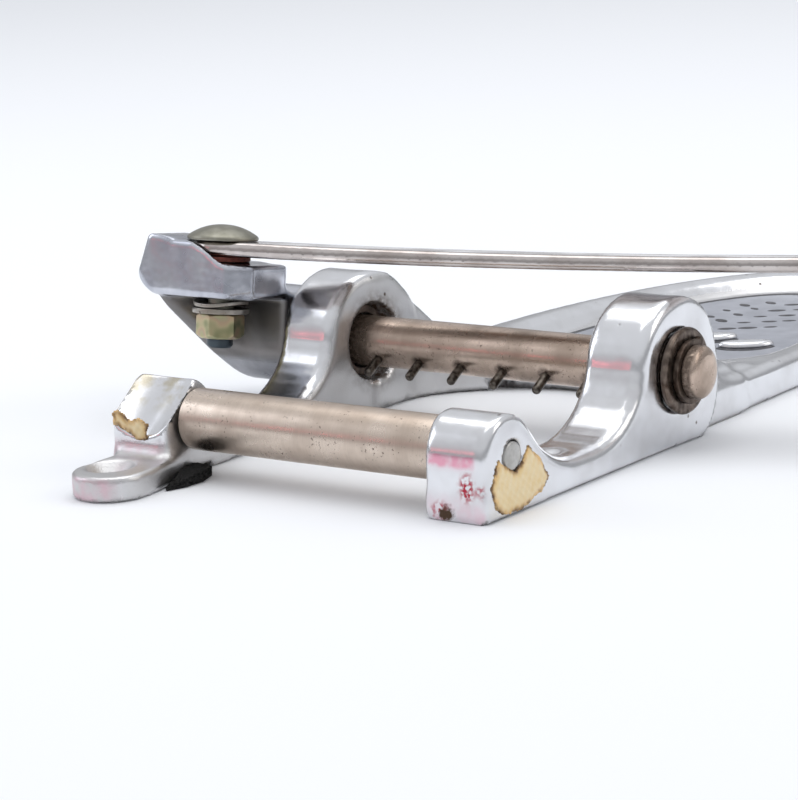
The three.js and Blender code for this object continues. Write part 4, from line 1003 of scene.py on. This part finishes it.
run_outline = [(-65.5, 12), (-66.5, 9.5), (-68.6, 6.5), (-67, 3), (-65, 0.8), (-57, 0.8), (-54, 2), (-50, 3.2)]
run_outline += [(-49, 5), (-51, 8), (-54, 11), (-55.5, 12.6), (-57.2, 10.4), (-60, 8.2), (-63, 9.6)]
run = lacquer_run("lacquer_run", run_outline, 0.22, 0.42, lambda u, v, h: (LEG_OUTER + h, u, v))
finish_piece(run, lacquer, "brushed_nickel", "base")
patch_outline = [(-44, 13), (-43.6, 10.6), (-40.5, 9.8), (-37.8, 8), (-35, 8.2), (-34.6, 11.6), (-37, 12.4), (-40, 12)]
patch_outline += [(-42.4, 13.8)]


def over_post_front(u, v, height):
    """Across and up on a front post, to a place on its flat front or on the arc above it."""
    turn = max(0, v - TENSION_HEIGHT) / 8.1
    reach = 8.1 + height
    return u, -61.9 - reach * math.cos(turn), min(v, TENSION_HEIGHT) + reach * math.sin(turn)


patch = lacquer_run("lacquer_patch", patch_outline, 0.22, 0.22, over_post_front)
finish_piece(patch, lacquer, "brushed_nickel", "base")

# ---------------------------------------------------------------- camera, floor and light
# A pale paper sweep under soft overhead panels; the low grey surround gives the metal its contrast.
camera = bpy.data.objects.new("camera", bpy.data.cameras.new("camera"))
bpy.context.scene.collection.objects.link(camera)
bpy.context.scene.camera = camera
camera.data.lens = 135
camera.data.sensor_width = 36
camera.data.clip_start = 0.01
camera.matrix_world = (
    Matrix.Translation((0.34274, -0.59911, 0.13957))
    @ Matrix.Rotation(math.radians(36.09), 4, "Z")
    @ Matrix.Rotation(math.radians(90 - 12.35), 4, "X")
    @ Matrix.Rotation(math.radians(-2.59), 4, "Z")
)

floor_mesh = bpy.data.meshes.new("floor")
floor_mesh.from_pydata([(-3, -3, 0), (3, -3, 0), (3, 3, 0), (-3, 3, 0)], [], [(0, 1, 2, 3)])
floor = bpy.data.objects.new("floor", floor_mesh)
bpy.context.scene.collection.objects.link(floor)
paper, shader, where = new_material("pale matt paper")
shader.inputs["Base Color"].default_value = linear("#f6f8fb")
shader.inputs["Roughness"].default_value = 0.9
floor_mesh.materials.append(paper)

world = bpy.data.worlds.new("studio")
bpy.context.scene.world = world
world.use_nodes = True
around = add(world, "ShaderNodeTexCoord").outputs["Generated"]
height = add(world, "ShaderNodeSeparateXYZ", {"Vector": around}).outputs["Z"]
sky = add(world, "ShaderNodeValToRGB", {"Fac": height})
SKY_STOPS = ((0.0, 0.4), (0.18, 0.42), (0.42, 0.72), (1.0, 0.82))
for place, _ in SKY_STOPS[1:-1]:
    sky.color_ramp.elements.new(place)
for stop, (place, shade) in zip(sky.color_ramp.elements, SKY_STOPS):
    stop.position = place
    stop.color = (shade * 0.97, shade * 0.985, shade * 1.02, 1)
background = world.node_tree.nodes["Background"]
world.node_tree.links.new(sky.outputs[0], background.inputs["Color"])
background.inputs["Strength"].default_value = 1.0

LAMPS = (
    # name, centre, size in x and y, watts, colour
    ("overhead_panel", (-0.1, 0.1, 1.1), (1.1, 0.9), 4.4, "#ffffff"),
    ("left_panel", (-0.9, -0.5, 0.5), (0.5, 0.6), 1.5, "#f1f5ff"),
    ("right_panel", (0.9, 0.3, 0.6), (0.5, 0.6), 1.4, "#fffaf4"),
    ("red_card", (-0.34, -0.62, 0.14), (0.2, 0.03), 0.03, "#ff5a6a"),
)
for name, centre, (width, depth), watts, tone in LAMPS:
    lamp = bpy.data.lights.new(name, "AREA")
    lamp.shape = "RECTANGLE"
    lamp.size, lamp.size_y = width, depth
    lamp.energy = watts
    lamp.color = linear(tone)[:3]
    holder = bpy.data.objects.new(name, lamp)
    holder.location = centre
    aim = Vector((0, -0.05, 0.01)) - Vector(centre)
    holder.rotation_euler = aim.to_track_quat("-Z", "Y").to_euler()
    bpy.context.scene.collection.objects.link(holder)
bpy.context.scene.view_settings.view_transform = "Standard"
